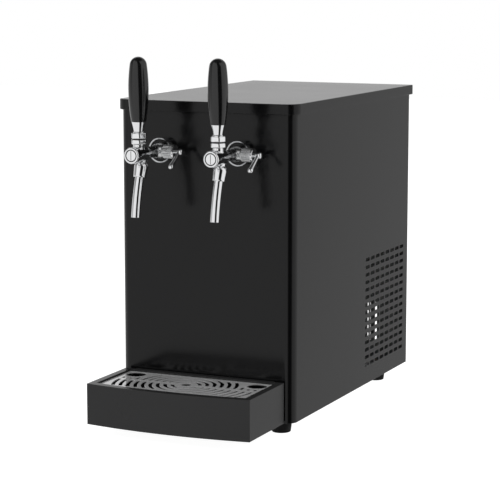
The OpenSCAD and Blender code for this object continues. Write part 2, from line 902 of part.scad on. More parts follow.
module insulation_rear() {
  color(foam) intersection() {
    foam_box();
    block(2 * cab_w, foam_split, cab_d, 0, 2 * tap_z);
  }
}

module block_shelf() {
  t = 1.5;
  leg = 12;
  y0 = foam_y0 + 6;
  y1 = min(foam_y1, cond_y0) - 6;
  color(steel) translate([block_x, 0, 0]) difference() {
    block(foam_w, y0, y1, pan_top, foam_z);
    block(foam_w - 2 * t, y0 - over, y1 + over, pan_top + t, foam_z - t);
    block(foam_w - 2 * leg, y0 - over, y1 + over, pan_top - over, pan_top + t + over);
  }
}

module beer_lines() {
  color("#d8d8d2") for (s = [-1, 1]) {
    x = s * inlet_x;
    mid = foam_y1 + line_turn;
    pipe([
      [x, cab_d - fitting_in, inlet_z], [x, mid, inlet_z], [x, mid, line_z],
      [x, block_y + block_d, line_z]
    ], supply_r, 20);
  }
}

// Rear fittings

module beer_inlet(side) {
  color("#3a3c40") translate([side * inlet_x, cab_d, inlet_z]) difference() {
    union() {
      yspin() polygon([
        [0, -fitting_in], [thread_r, -fitting_in], [thread_r, 0], [fitting_r, 0],
        [fitting_r, inlet_out - 4], [fitting_r - 1.5, inlet_out - 2], [fitting_r - 2.2, inlet_out - 2],
        [fitting_r - 2.2, inlet_out], [0, inlet_out]
      ]);
      rotate([-90, 0, 0]) cylinder(r = fitting_r + 3.5, h = 6, $fn = 6);
      translate([0, -sheet_t - 6, 0]) rotate([-90, 0, 0]) cylinder(r = fitting_r + 3, h = 6, $fn = 6);
    }
    ycyl(supply_r + seat_gap, inlet_out - supply_depth, inlet_out + over);
    ycyl(way_r - 1, -fitting_in - over, inlet_out);
  }
}

module beer_inlet_left() { beer_inlet(-1); }
module beer_inlet_right() { beer_inlet(1); }

module thermostat() {
  color("#8d9094") translate([-thermo_x, cab_d - sheet_t, panel_z]) difference() {
    union() {
      block(thermo_w, -thermo_in, -thermo_set, -thermo_h / 2, thermo_h / 2);
      ycyl(8, -thermo_set - over, 0);
    }
    ycyl(knob_shaft_r + run_gap, -16, over);
  }
}

module thermostat_knob() {
  y0 = 0.6;
  color(black_plastic) translate([-thermo_x, cab_d, panel_z]) {
    difference() {
      yspin() polygon([
        [0, y0], [dial_r, y0], [dial_r, y0 + 3], [dial_r - 2.5, y0 + 4],
        [dial_r - 3.5, dial_h - 1], [dial_r - 4.5, dial_h], [0, dial_h]
      ]);
      translate([0, 0, dial_r]) block(2, dial_h - 4, dial_h + over, -9, over);
    }
    ycyl(knob_shaft_r, -sheet_t - 14, y0 + over);
  }
}

// Pocket of the switch that the rocker moves in
pocket_w = rocker_w + 0.8;
pocket_half = rocker_half + 1.2;

module switch_frame() {
  color(black_plastic) translate([switch_x, cab_d, panel_z]) difference() {
    union() {
      block(frame_w, 0, 2, -frame_h / 2, frame_h / 2);
      block(frame_w - 2, -frame_in, over, -frame_h / 2 + 1, frame_h / 2 - 1);
    }
    block(pocket_w, -11, 2 + over, -pocket_half, pocket_half);
    translate([0, -3, 0]) xcyl(1 + run_gap, -pocket_w / 2 - 0.6, pocket_w / 2 + 0.6);
  }
}

module switch_rocker() {
  color("#26282b") translate([switch_x, cab_d - 3, panel_z]) rotate([-rocker_tilt, 0, 0]) {
    along_x(-rocker_w / 2, rocker_w / 2) polygon([
      [-3, -3], [-3, 3], [0, rocker_half], [6.6, rocker_half - 0.4],
      [5.2, 0], [6.6, -rocker_half + 0.4], [0, -rocker_half]
    ]);
    xcyl(1, -pocket_w / 2 - 0.4, pocket_w / 2 + 0.4);
  }
}

module power_inlet() {
  wall = 1.6;
  color(black_plastic) translate([power_x, cab_d, panel_z]) {
    difference() {
      union() {
        block(power_w + 4, 0, 2.5, -power_h / 2 - 2, power_h / 2 + 2);
        block(power_w, -power_in, over, -power_h / 2, power_h / 2);
      }
      block(power_w - 2 * wall, -16, 2.5 + over, -power_h / 2 + wall, power_h / 2 - wall);
    }
    for (p = [[-7, -2], [0, 2.5], [7, -2]])
      translate([p.x, 0, p.y]) block(2, -17, -2, -2, 2);
  }
}

// Drip tray

module tray_plan(side, front, back) {
  w = tray_w - 2 * side;
  intersection() {
    translate([-w / 2, -bow_reach]) square([w, bow_reach - tray_gap - back]);
    translate([0, bow_r - bow_reach]) circle(bow_r - front);
  }
}

module tray_layer(z0, z1, side, front, back) {
  translate([0, 0, z0]) linear_extrude(z1 - z0) tray_plan(side, front, back);
}

module drip_tray() {
  step = rim_side + tray_t;
  hook_top = tray_top - tray_t;
  color(paint) {
    difference() {
      tray_layer(tray_z, tray_top, 0, 0, 0);
      tray_layer(tray_z + tray_t, ledge_top - tray_t, tray_t, tray_t, tray_t);
      difference() {
        tray_layer(ledge_top - 2 * tray_t, tray_top - tray_t, tray_t, tray_t, tray_t);
        tray_layer(ledge_top - tray_t, tray_top, rim_side, rim_front, rim_back);
      }
      tray_layer(ledge_top, tray_top + over, step, rim_front + tray_t, rim_back + tray_t);
      tray_layer(ledge_top - 2 * tray_t, tray_top, step + ledge_w, rim_front + tray_t + ledge_w,
                 rim_back + tray_t + ledge_w);
    }
    block(hook_w, -tray_gap - over, hook_y + tray_t, hook_top, tray_top);
    block(hook_w, hook_y, hook_y + tray_t, hook_top - hook_h, tray_top);
  }
}

module tray_cleat() {
  color(steel) {
    block(cleat_w, -cleat_wall, 0, cleat_low, cleat_top - 2);
    block(cleat_w, cleat_lip_y, 0, cleat_low, cleat_low + cleat_wall);
    block(cleat_w, cleat_lip_y, cleat_lip_y + cleat_wall, cleat_low, cleat_top);
  }
}

module tray_bumpers() {
  color(rubber) for (s = [-1, 1]) translate([s * bumper_x, 0, bumper_z])
    ycyl(bumper_r, -tray_gap, -sheet_gap);
}

// Drain pattern: ripples about the plate's middle, cut into arcs that leave bridges along both axes
ripple_first = 18.5;
ripple_pitch = 10;
ripple_bridge = 6;
ripple_land = 4.4;
ripple_eye_r = 7;
ripple_side = tray_w / 2 - plate_side - ripple_land - drain_w / 2;
ripple_deep = (tray_reach - plate_front + plate_rear_y) / 2 - ripple_land;
finger_far = norm([finger_x, finger_y - plate_mid_y]);
finger_turn = atan2(finger_y - plate_mid_y, finger_x);
finger_keep = finger_r + finger_land + drain_w / 2;

function ripple_from(r) = asin(ripple_bridge / (2 * r - drain_w));
function ripple_to(r) = min(90 - ripple_from(r), asin(min(1, ripple_deep / (r + drain_w / 2))));
function hole_turn(r) = (pow(r, 2) + pow(finger_far, 2) - pow(finger_keep, 2)) / (2 * r * finger_far);
function rear_to(r) = hole_turn(r) < 1 ? min(ripple_to(r), finger_turn - acos(hole_turn(r))) : ripple_to(r);

// Curved slot about the origin between two angles
module arc_slot(r, w, from, to) {
  far = 2 * r / cos((to - from) / 2);
  intersection() {
    difference() {
      circle(r + w / 2, $fn = 240);
      circle(r - w / 2, $fn = 240);
    }
    polygon([[0, 0], far * [cos(from), sin(from)], far * [cos(to), sin(to)]]);
  }
}

module drain_slots() {
  translate([0, plate_mid_y]) {
    circle(ripple_eye_r);
    for (r = [ripple_first : ripple_pitch : ripple_side], s = [0, 1]) mirror([s, 0]) {
      arc_slot(r, drain_w, -ripple_to(r), -ripple_from(r));
      if (rear_to(r) > ripple_from(r)) arc_slot(r, drain_w, ripple_from(r), rear_to(r));
    }
  }
}

module drip_grille() {
  color(chrome) translate([0, 0, ledge_top]) linear_extrude(grille_t) difference() {
    tray_plan(plate_side, plate_front, plate_back);
    for (s = [-1, 1]) translate([s * finger_x, finger_y]) circle(finger_r);
    drain_slots();
  }
}

// Taps, each drawn about its own axis at the front panel

module tap_shanks() {
  color(steel) at_taps() difference() {
    ycyl(shank_r, socket_end_y + seat_gap, block_y);
    ycyl(way_r, socket_end_y - over, block_y + over);
  }
}

module shank_nuts() {
  color(steel) at_taps() difference() {
    translate([0, sheet_t, 0]) rotate([-90, 0, 0]) cylinder(r = nut_r, h = nut_h, $fn = 6);
    ycyl(shank_r + seat_gap, 0, nut_h + 2 * over);
  }
}

module rosette(side) {
  color(chrome) translate([tap_x(side), 0, tap_z]) yspin() polygon([
    [shank_r + seat_gap, 0], [rosette_r - 1.4, 0], [rosette_r, -rosette_t + 2.4],
    [rosette_r - 0.2, -rosette_t + 0.9], [rosette_r - 0.9, -rosette_t + 0.1],
    [rosette_r - 1.7, -rosette_t], [rosette_r - 2.4, -rosette_t + 0.4],
    [barrel_r + 0.8, dish_y], [shank_r + seat_gap, dish_y]
  ]);
}

// Barrel with a trumpet-shaped rear and a straight valve chamber
module barrel_profile() {
  flare_y = dish_y - 4;
  run = flare_y - neck_y;
  flare = barrel_r - neck_r;
  flare_r = (run * run + flare * flare) / (2 * flare);
  translate([0, flare_y]) square([barrel_r, dish_y - flare_y]);
  difference() {
    translate([0, neck_y]) square([barrel_r, run]);
    translate([neck_r + flare_r, neck_y]) circle(flare_r, $fn = 400);
  }
  polygon([
    [0, neck_y], [neck_r, neck_y], [chamber_r, chamber_y], [chamber_r, chamber_front],
    [0, chamber_front]
  ]);
}

// Frame of the spout: its origin on the tap axis, -Z along the socket
module spout_frame() {
  translate([0, -spout_root, 0]) rotate([-socket_tilt, 0, 0]) children();
}

module tap_body(side) {
  color(chrome) translate([tap_x(side), 0, tap_z]) difference() {
    union() {
      yspin() barrel_profile();
      translate([0, -lever_reach, 0]) cylinder(r = post_r, h = collar_lift);
      spout_frame() translate([0, 0, -socket_l])
        cylinder(r1 = socket_end_r, r2 = socket_root_r, h = socket_l - socket_bury);
      translate([0, -flow_reach, 0]) xcyl(flow_r - boss_wall, 0, boss_l);
    }
    ycyl(shank_r + seat_gap, socket_end_y, 0);
    ycyl(way_r, bore_back - over, 0);
    ycyl(chamber_bore_r, chamber_front - over, bore_back);
    translate([-slot_w / 2, -lever_reach, 0]) rotate([90, 0, 90]) linear_extrude(slot_w) polygon([
      [-slot_half, 0], [slot_half, 0], [slot_half, chamber_bore_r], [slot_top, collar_lift + over],
      [-slot_top, collar_lift + over], [-slot_half, chamber_bore_r]
    ]);
    translate([0, -lever_reach, pivot_lift]) sphere(ball_r + swing_gap);
    spout_frame() {
      translate([0, 0, -socket_l - over])
        cylinder(r = spout_r + seat_gap, h = spout_depth + over + seat_gap);
      translate([0, 0, -socket_l]) cylinder(r = spout_r - spout_wall, h = socket_l - socket_bury / 2);
    }
    translate([0, -flow_reach, 0]) xcyl(stem_r + run_gap, stem_r, boss_l + over);
  }
}

module front_cap(side) {
  skirt_y = chamber_front + cap_skirt;
  color(chrome) translate([tap_x(side), 0, tap_z]) difference() {
    yspin() polygon([
      [0, cap_front], [cap_r - 1, cap_front], [cap_r - 0.3, cap_front + 0.3], [cap_r, cap_front + 1],
      [cap_r, skirt_y - 1], [cap_r - 0.5, skirt_y], [0, skirt_y]
    ]);
    ycyl(chamber_r + seat_gap, chamber_front - seat_gap, skirt_y + over);
    ycyl(chamber_bore_r, cap_front + 3, skirt_y);
    difference() {
      ycyl(8.2, cap_front - over, cap_front + 0.7);
      ycyl(7.4, cap_front - 2 * over, cap_front + over);
    }
    block(1.4, cap_front - over, cap_front + 0.8, -6.5, 6.5);
  }
}

// Frame of a lever: its origin at the ball's centre
module lever_frame(side) {
  translate([tap_x(side), -lever_reach, tap_z + pivot_lift]) children();
}

module lever_collar(side) {
  low = collar_lift - pivot_lift;
  high = low + collar_h;
  color(chrome) lever_frame(side) difference() {
    union() {
      translate([0, 0, low]) cylinder(r = hex_r, h = collar_h, $fn = 6);
      intersection() {
        sphere(dome_r);
        translate([0, 0, high - over]) cylinder(r = hex_r * 0.84, h = dome_r);
      }
    }
    sphere(ball_r + swing_gap);
    translate([0, 0, low - over]) cylinder(r = ball_r + 2 * swing_gap, h = over - low);
    cylinder(r1 = mouth_r, r2 = mouth_r + 2 * dome_r * tan(lever_swing), h = 2 * dome_r);
  }
}

module tap_lever(side) {
  color(steel) lever_frame(side) {
    sphere(ball_r);
    cylinder(r = stem_r, h = stem_top - pivot_lift);
    translate([0, 0, -pivot_lift]) cylinder(r = tail_r, h = pivot_lift);
    translate([0, 0, -pivot_lift]) sphere(toe_r);
  }
}

module lever_ferrule(side) {
  top = swivel_top - pivot_lift;
  color(chrome) lever_frame(side) difference() {
    union() {
      cylinder(r = hex_r, h = top, $fn = 6);
      translate([0, 0, top - over]) rotate_extrude() polygon([
        [0, 0], [ferrule_low_r + 0.8, 0], [ferrule_low_r + 0.8, over + 0.3], [ferrule_low_r, over + 1],
        [handle_foot_r - 1.2, ferrule_h * 0.8], [handle_foot_r - 0.3, ferrule_h + over],
        [handle_foot_r - 0.3, ferrule_h + 2 * over], [0, ferrule_h + 2 * over]
      ]);
    }
    sphere(dome_r + swing_gap);
    translate([0, 0, -over]) cylinder(r = 2 * hex_r, h = collar_lift + collar_h - pivot_lift + over);
    cylinder(r = stem_r + seat_gap, h = 3 * top);
  }
}

// Grip outline: one long arc up the side, run into a round end
module handle_profile() {
  side_r = (pow(handle_max_at, 2) + pow(handle_max_r - handle_foot_r, 2))
         / (2 * (handle_max_r - handle_foot_r));
  rest = handle_l - handle_max_at;
  end_r = (2 * side_r * handle_max_r - pow(handle_max_r, 2) - pow(rest, 2)) / (2 * (side_r - rest));
  end_z = handle_l - end_r;
  meet = handle_max_at + side_r * (end_z - handle_max_at) / (side_r - end_r);
  intersection() {
    square([handle_max_r, handle_l]);
    union() {
      intersection() {
        translate([handle_max_r - side_r, handle_max_at]) circle(side_r, $fn = 400);
        square([handle_max_r, meet]);
      }
      translate([0, end_z]) circle(end_r);
    }
  }
}

module tap_handle(side) {
  color(black_plastic) translate([tap_x(side), -lever_reach, tap_z]) difference() {
    translate([0, 0, handle_z]) rotate_extrude() handle_profile();
    translate([0, 0, handle_z - over]) cylinder(r = stem_r + seat_gap, h = stem_top - handle_z + 2 * over);
  }
}

module tap_plunger(side) {
  depth = toe_r + 3 * swing_gap;
  lean = pivot_lift - chamber_bore_r;
  top_r = plunger_travel - lean * tan(lever_swing) + tail_r / cos(lever_swing) + swing_gap;
  color(steel) translate([tap_x(side), -lever_reach, tap_z]) difference() {
    ycyl(plunger_r, -plunger_half, plunger_half);
    translate([0, 0, -depth]) cylinder(r = toe_r + 2 * swing_gap, h = depth + over);
    cylinder(r1 = toe_r + 2 * swing_gap, r2 = top_r, h = chamber_bore_r);
  }
}

module spout(side) {
  bend_r = spout_l / (spout_bend * PI / 180);
  color(chrome) translate([tap_x(side), 0, tap_z]) spout_frame() translate([0, 0, -socket_l]) {
    difference() {
      cylinder(r = spout_r, h = spout_depth);
      translate([0, 0, -over]) cylinder(r = spout_r - spout_wall, h = spout_depth + 2 * over);
    }
    translate([0, bend_r, 0]) rotate([0, 90, 0]) rotate([0, 0, -90])
      rotate_extrude(angle = spout_bend) translate([bend_r, 0]) difference() {
        circle(spout_r);
        circle(spout_r - spout_wall);
      }
  }
}

module flow_bonnet(side) {
  color(chrome) translate([tap_x(side), -flow_reach, tap_z]) difference() {
    rotate([0, 90, 0]) rotate_extrude() polygon([
      [0, boss_l], [flow_r, boss_l], [flow_r, boss_l + 5], [flow_r - 0.7, boss_l + 5.6],
      [flow_r - 0.7, boss_l + 6.6], [flow_r - 0.1, boss_l + 7.2], [flow_r - 0.1, flow_end - 2],
      [flow_r - 1.6, flow_end], [0, flow_end]
    ]);
    xcyl(stem_r + run_gap, 0, flow_end + over);
  }
}

module flow_lever(side) {
  start = flow_end + swing_gap;
  end = start + knob_l;
  arm_x = (start + end) / 2;
  forward = [0, -cos(arm_slope), -sin(arm_slope)];
  color(chrome) translate([tap_x(side), -flow_reach, tap_z]) {
    xcyl(stem_r, 4.6, start + over);
    rotate([0, 90, 0]) rotate_extrude() polygon([
      [0, start], [knob_r, start], [knob_r, end - 1.2], [knob_r - 1.2, end], [0, end]
    ]);
    rod([arm_x, 0, 0], [arm_x, 0, 0] + (arm_l - arm_ball_r) * forward, arm_r);
    translate([arm_x, 0, 0] + (arm_l - arm_ball_r) * forward) sphere(arm_ball_r);
  }
}

module rosette_left() { rosette(-1); }
module rosette_right() { rosette(1); }
module tap_body_left() { tap_body(-1); }
module tap_body_right() { tap_body(1); }
module front_cap_left() { front_cap(-1); }
module front_cap_right() { front_cap(1); }
module lever_collar_left() { lever_collar(-1); }
module lever_collar_right() { lever_collar(1); }
module tap_lever_left() { tap_lever(-1); }
module tap_lever_right() { tap_lever(1); }
module lever_ferrule_left() { lever_ferrule(-1); }
module lever_ferrule_right() { lever_ferrule(1); }
module tap_handle_left() { tap_handle(-1); }
module tap_handle_right() { tap_handle(1); }
module tap_plunger_left() { tap_plunger(-1); }
module tap_plunger_right() { tap_plunger(1); }
module spout_left() { spout(-1); }
module spout_right() { spout(1); }
module flow_bonnet_left() { flow_bonnet(-1); }
module flow_bonnet_right() { flow_bonnet(1); }
module flow_lever_left() { flow_lever(-1); }
module flow_lever_right() { flow_lever(1); }

// Every piece is drawn with the front panel at Y = 0 and then moved to the machine's middle.
module place() {
  translate([0, shift_y, 0]) children();
}

place() cabinet_shell();
place() base_pan();
place() rear_panel();
place() top_lid();
place() rubber_feet();
place() case_screws();
place() compressor();
place() compressor_mounts();
place() relay_cover();
place() condenser_fins();
place() condenser_tube();
place() fan_shroud();
place() fan_motor();
place() fan_bracket();
place() fan_blade();
place() filter_drier();
place() discharge_line();
place() liquid_line();
place() capillary_tube();
place() suction_line();
place() cold_block();
place() insulation_front();
place() insulation_rear();
place() block_shelf();
place() beer_lines();
place() beer_inlet_left();
place() beer_inlet_right();
place() thermostat();
place() thermostat_knob();
place() switch_frame();
place() switch_rocker();
place() power_inlet();
place() drip_tray();
place() drip_grille();
place() tray_cleat();
place() tray_bumpers();
place() tap_shanks();
place() shank_nuts();
place() rosette_left();
place() rosette_right();
place() tap_body_left();
place() tap_body_right();
place() front_cap_left();
place() front_cap_right();
place() lever_collar_left();
place() lever_collar_right();
place() tap_lever_left();
place() tap_lever_right();
place() lever_ferrule_left();
place() lever_ferrule_right();
place() tap_handle_left();
place() tap_handle_right();
place() tap_plunger_left();
place() tap_plunger_right();
place() spout_left();
place() spout_right();
place() flow_bonnet_left();
place() flow_bonnet_right();
place() flow_lever_left();
place() flow_lever_right();
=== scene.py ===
# %% [markdown]
# # A two-tap countertop drink cooler
# This lesson dresses a packed construction model in Blender. The frame already holds every solid of
# the cooler at its true place and in metres, so nothing has to be fitted by eye: new pieces are built
# where the frame's boxes say, and every surface gets a finish made of nodes.

# %% Load the frame
import math
import bmesh
import bpy
from mathutils import Matrix, Vector


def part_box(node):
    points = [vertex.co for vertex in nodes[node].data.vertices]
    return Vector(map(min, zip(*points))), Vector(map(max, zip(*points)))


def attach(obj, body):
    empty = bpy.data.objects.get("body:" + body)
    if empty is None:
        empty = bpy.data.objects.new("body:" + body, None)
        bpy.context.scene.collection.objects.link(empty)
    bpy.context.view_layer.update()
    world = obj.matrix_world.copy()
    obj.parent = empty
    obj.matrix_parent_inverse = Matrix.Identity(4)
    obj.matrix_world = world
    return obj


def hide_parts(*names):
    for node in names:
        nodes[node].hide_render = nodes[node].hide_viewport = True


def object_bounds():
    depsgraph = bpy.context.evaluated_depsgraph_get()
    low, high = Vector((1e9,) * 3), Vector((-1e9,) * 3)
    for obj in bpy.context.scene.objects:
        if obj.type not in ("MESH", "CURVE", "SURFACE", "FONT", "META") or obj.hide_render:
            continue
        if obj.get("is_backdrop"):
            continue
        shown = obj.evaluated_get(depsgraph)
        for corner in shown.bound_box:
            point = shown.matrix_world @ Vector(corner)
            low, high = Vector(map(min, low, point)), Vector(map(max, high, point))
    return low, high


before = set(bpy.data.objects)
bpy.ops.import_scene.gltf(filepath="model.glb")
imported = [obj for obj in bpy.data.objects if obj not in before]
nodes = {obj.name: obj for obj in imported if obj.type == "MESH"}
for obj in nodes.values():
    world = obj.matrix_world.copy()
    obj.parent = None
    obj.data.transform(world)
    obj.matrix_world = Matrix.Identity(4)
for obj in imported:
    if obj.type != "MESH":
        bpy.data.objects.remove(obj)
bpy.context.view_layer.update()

# %% [markdown]
# ## The camera
# The picture was taken from the front right, a little above the tray, with a long lens: the cabinet's
# edges hardly converge. A long lens could be guessed at, but the vanishing of the lid and the tray
# gives it: 136 mm on a 36 mm sensor, 2.7 m away. The camera is aimed with a track quaternion, which
# keeps the upright edges upright.

# %% Camera
EYE = Vector((1.10524, -2.45870, 0.62883))
AIM = Vector((-0.00114, -0.02200, 0.22430))
SENSOR, LENS = 36.0, 136.18
scene = bpy.context.scene
camera = bpy.data.objects.new("camera", bpy.data.cameras.new("camera"))
camera.data.sensor_width = SENSOR
camera.data.lens = LENS
camera.location = EYE
camera.rotation_mode = "QUATERNION"
camera.rotation_quaternion = (AIM - EYE).to_track_quat("-Z", "Y")
scene.collection.objects.link(camera)
scene.camera = camera
scene.view_settings.view_transform = "Standard"
print("camera:", LENS, "mm,", round((AIM - EYE).length, 3), "m away")

# %% [markdown]
# ## The studio
# Black paint and chrome show almost nothing but the room around them, so the room matters more than
# the lamps. Product studios put large white panels round the object and leave gaps between them; the
# gaps become the dark lines that draw the round edges. The room is made of nodes, so first come some
# short helpers: they add a node, do a step of arithmetic, make a colour ramp, turn a compass bearing
# into a place on the ramp that runs round the room, and show each kind of ray its own shader.

# %% Helpers for node trees
def put(tree, kind, sources=(), **values):
    """Adds a node, sets its properties or sockets by name, and gives sockets an output or a number."""
    made = tree.nodes.new(kind)
    for key, value in values.items():
        if hasattr(made, key):
            setattr(made, key, value)
        else:
            made.inputs[key.replace("_", " ")].default_value = value
    for socket, source in sources:
        if isinstance(source, bpy.types.NodeSocket):
            tree.links.new(source, made.inputs[socket])
        else:
            made.inputs[socket].default_value = source
    return made


def maths(tree, operation, *terms):
    """One step of arithmetic with outputs or numbers."""
    return put(tree, "ShaderNodeMath", enumerate(terms), operation=operation).outputs[0]


def ramp(tree, factor, *stops):
    """A colour ramp over (position, grey or colour) stops."""
    made = put(tree, "ShaderNodeValToRGB", [("Fac", factor)])
    band = made.color_ramp
    while len(band.elements) < len(stops):
        band.elements.new(0.5)
    for element, (place, shade) in zip(band.elements, stops):
        element.position = place
        element.color = (*shade, 1) if isinstance(shade, tuple) else (shade, shade, shade, 1)
    return made.outputs["Color"]


def bearing(degrees):
    """Where a compass bearing lies on the room's ramp: 0 is the front, 90 the right-hand side."""
    return (degrees + 180) / 360


def by_ray(tree, plain, *views):
    """Shows some kinds of rays other shaders than the plain one."""
    path = put(tree, "ShaderNodeLightPath")
    shown = plain
    for ray, seen in views:
        shown = put(tree, "ShaderNodeMixShader",
                    [(0, path.outputs[f"Is {ray} Ray"]), (1, shown.outputs[0]), (2, seen.outputs[0])])
    return shown.outputs[0]

# %% [markdown]
# ### The room
# Panels could be modelled as planes, but a world shader that depends on direction does the same with
# no geometry: white walls, a grey flag high on the left, one dark gap to the front right, a dimmer rear
# wall, and a dark ceiling. The panels lean a little, so the bearing is sheared with the height.
# Rays that the camera sends to the background see plain white, and rays that only carry diffuse light
# see an even grey.

# %% World
PANEL_LEAN = 0.45
WALLS = ((-180, 0.65), (-147, 0.65), (-135, 1.0), (23, 1.0), (29, 0.01), (66, 0.01), (74, 0.9), (82, 1.0),
         (120, 1.0), (146, 0.61), (165, 0.45), (180, 0.65))
FLAG = ((-125, 0.0), (-112, 0.8), (-56, 0.8), (-42, 0.0))
FLAG_RISE = ((0.36, 0.0), (0.64, 1.0))
CEILING = ((0.0, 0.9), (0.45, 1.0), (0.86, 1.0), (0.94, 0.12), (1.0, 0.08))
EVEN = (0.55, 0.55, 0.55, 1)
WHITE = (1, 1, 1, 1)
world = bpy.data.worlds.new("studio")
scene.world = world
world.use_nodes = True
tree = world.node_tree
tree.nodes.clear()
direction = put(tree, "ShaderNodeTexCoord").outputs["Generated"]
axes = put(tree, "ShaderNodeSeparateXYZ", [("Vector", direction)]).outputs
turn = maths(tree, "ARCTAN2", axes["X"], maths(tree, "MULTIPLY", axes["Y"], -1.0))
lean = maths(tree, "MULTIPLY_ADD", axes["Z"], PANEL_LEAN, turn)
around = put(tree, "ShaderNodeMapRange", [("Value", lean)], From_Min=-math.pi, From_Max=math.pi).outputs[0]
height = put(tree, "ShaderNodeMapRange", [("Value", axes["Z"])], From_Min=-1.0).outputs[0]
walls = ramp(tree, around, *((bearing(angle), shade) for angle, shade in WALLS))
flag = maths(tree, "MULTIPLY", ramp(tree, around, *((bearing(angle), shade) for angle, shade in FLAG)),
             ramp(tree, height, *FLAG_RISE))
room = maths(tree, "MULTIPLY", walls, ramp(tree, height, *CEILING))
room = maths(tree, "MULTIPLY", room, maths(tree, "SUBTRACT", 1.0, flag))
mirrored = put(tree, "ShaderNodeBackground", [("Strength", room)], Color=WHITE)
white = put(tree, "ShaderNodeBackground", Color=WHITE)
shown = by_ray(tree, put(tree, "ShaderNodeBackground", Color=EVEN),
               ("Glossy", mirrored), ("Transmission", white), ("Camera", white))
put(tree, "ShaderNodeOutputWorld", [("Surface", shown)])
print("world:", len(tree.nodes), "nodes")

# %% [markdown]
# ### The floor
# The cooler stands on white paper. To the camera the paper is almost white by itself, with only a trace
# of shadow; mirror-like surfaces look through it at the room, as they would over a lit glass table.

# %% Floor
FLOOR_HALF = 6.0
PAPER = (0.8, 0.8, 0.8, 1)
PAPER_SEEN = (0.35, 0.35, 0.35, 1)
PAPER_GLOW = 0.96
bm = bmesh.new()
bmesh.ops.create_grid(bm, x_segments=1, y_segments=1, size=FLOOR_HALF)
floor = bpy.data.objects.new("floor", bpy.data.meshes.new("floor"))
bm.to_mesh(floor.data)
bm.free()
scene.collection.objects.link(floor)
floor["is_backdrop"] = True
paper = bpy.data.materials.new("white_floor")
paper.use_nodes = True
tree = paper.node_tree
tree.nodes.clear()
matt = put(tree, "ShaderNodeBsdfDiffuse", Color=PAPER_SEEN)
glow = put(tree, "ShaderNodeEmission", Color=WHITE, Strength=PAPER_GLOW)
lit = put(tree, "ShaderNodeAddShader", [(0, matt.outputs[0]), (1, glow.outputs[0])])
shown = by_ray(tree, put(tree, "ShaderNodeBsdfDiffuse", Color=PAPER),
               ("Camera", lit), ("Glossy", put(tree, "ShaderNodeBsdfTransparent")))
put(tree, "ShaderNodeOutputMaterial", [("Surface", shown)])
floor.data.materials.append(paper)
print("floor:", 2 * FLOOR_HALF, "m wide")

# %% [markdown]
# ### The lamps
# Three large soft boxes light the matt surfaces. They are hidden from mirror-like rays, because the
# room already gives the reflections.

# %% Lamps
SOFT_BOX = 1.8
LAMP_AIM = Vector((0, 0, 0.25))
for name, place, power in (("key_box", (-1.8, -2.4, 2.4), 60), ("side_box", (2.6, 0.4, 1.6), 30),
                           ("back_box", (-1.0, 2.6, 2.2), 25)):
    lamp = bpy.data.objects.new(name, bpy.data.lights.new(name, "AREA"))
    lamp.data.shape, lamp.data.size, lamp.data.energy = "SQUARE", SOFT_BOX, power
    lamp.location = place
    lamp.rotation_mode = "QUATERNION"
    lamp.rotation_quaternion = (LAMP_AIM - lamp.location).to_track_quat("-Z", "Y")
    lamp.visible_glossy = False
    scene.collection.objects.link(lamp)
    print("lamp:", name, power, "W")

# %% [markdown]
# ## Finishes
# Every finish starts from one Principled shader. Object coordinates are used throughout, because the
# pieces sit at the origin with their place in their meshes, so a pattern keeps its scale everywhere.
# Besides the start, four helpers are enough: a noise, a range of roughness, a tint and a relief.

# %% Helpers for finishes
finishes = {}


def start(name, colour, rough, metal=0.0, level=0.5):
    """Makes a material and returns its tree, its shader and a vector of object coordinates."""
    mat = bpy.data.materials.new(name)
    mat.use_nodes = True
    tree = mat.node_tree
    shader = tree.nodes["Principled BSDF"]
    shader.inputs["Base Color"].default_value = (*colour, 1)
    shader.inputs["Roughness"].default_value = rough
    shader.inputs["Metallic"].default_value = metal
    shader.inputs["Specular IOR Level"].default_value = level
    finishes[name] = mat
    return tree, shader, put(tree, "ShaderNodeTexCoord").outputs["Object"]


def noise(tree, place, scale, detail=2.0, stretch=(1, 1, 1)):
    """A noise whose grain can be stretched along an axis."""
    grain = put(tree, "ShaderNodeMapping", [("Vector", place)], Scale=stretch).outputs[0]
    return put(tree, "ShaderNodeTexNoise", [("Vector", grain)], Scale=scale, Detail=detail).outputs["Fac"]


def sheen(tree, shader, factor, low, high):
    """Lets a noise move the roughness between two values."""
    made = put(tree, "ShaderNodeMapRange", [("Value", factor)],
               From_Min=0.3, From_Max=0.7, To_Min=low, To_Max=high)
    tree.links.new(made.outputs[0], shader.inputs["Roughness"])


def tint(tree, shader, factor, first, second):
    """Lets a noise move the colour between two colours."""
    tree.links.new(ramp(tree, factor, (0.35, first), (0.65, second)), shader.inputs["Base Color"])


def relief(tree, shader, factor, strength, depth):
    """Lets a noise lift the surface by a depth in metres."""
    bump = put(tree, "ShaderNodeBump", [("Height", factor)], Strength=strength, Distance=depth)
    tree.links.new(bump.outputs[0], shader.inputs["Normal"])


# %% [markdown]
# ### Paints
# The cabinet is powder-coated in glossy black: hardly any colour of its own, a clear sheen, and a faint
# orange peel. The tray's coat is a little more matt and so a little lighter. Coated sheet has a thin
# grey backing coat on its inner side, which is what shows through the vents.

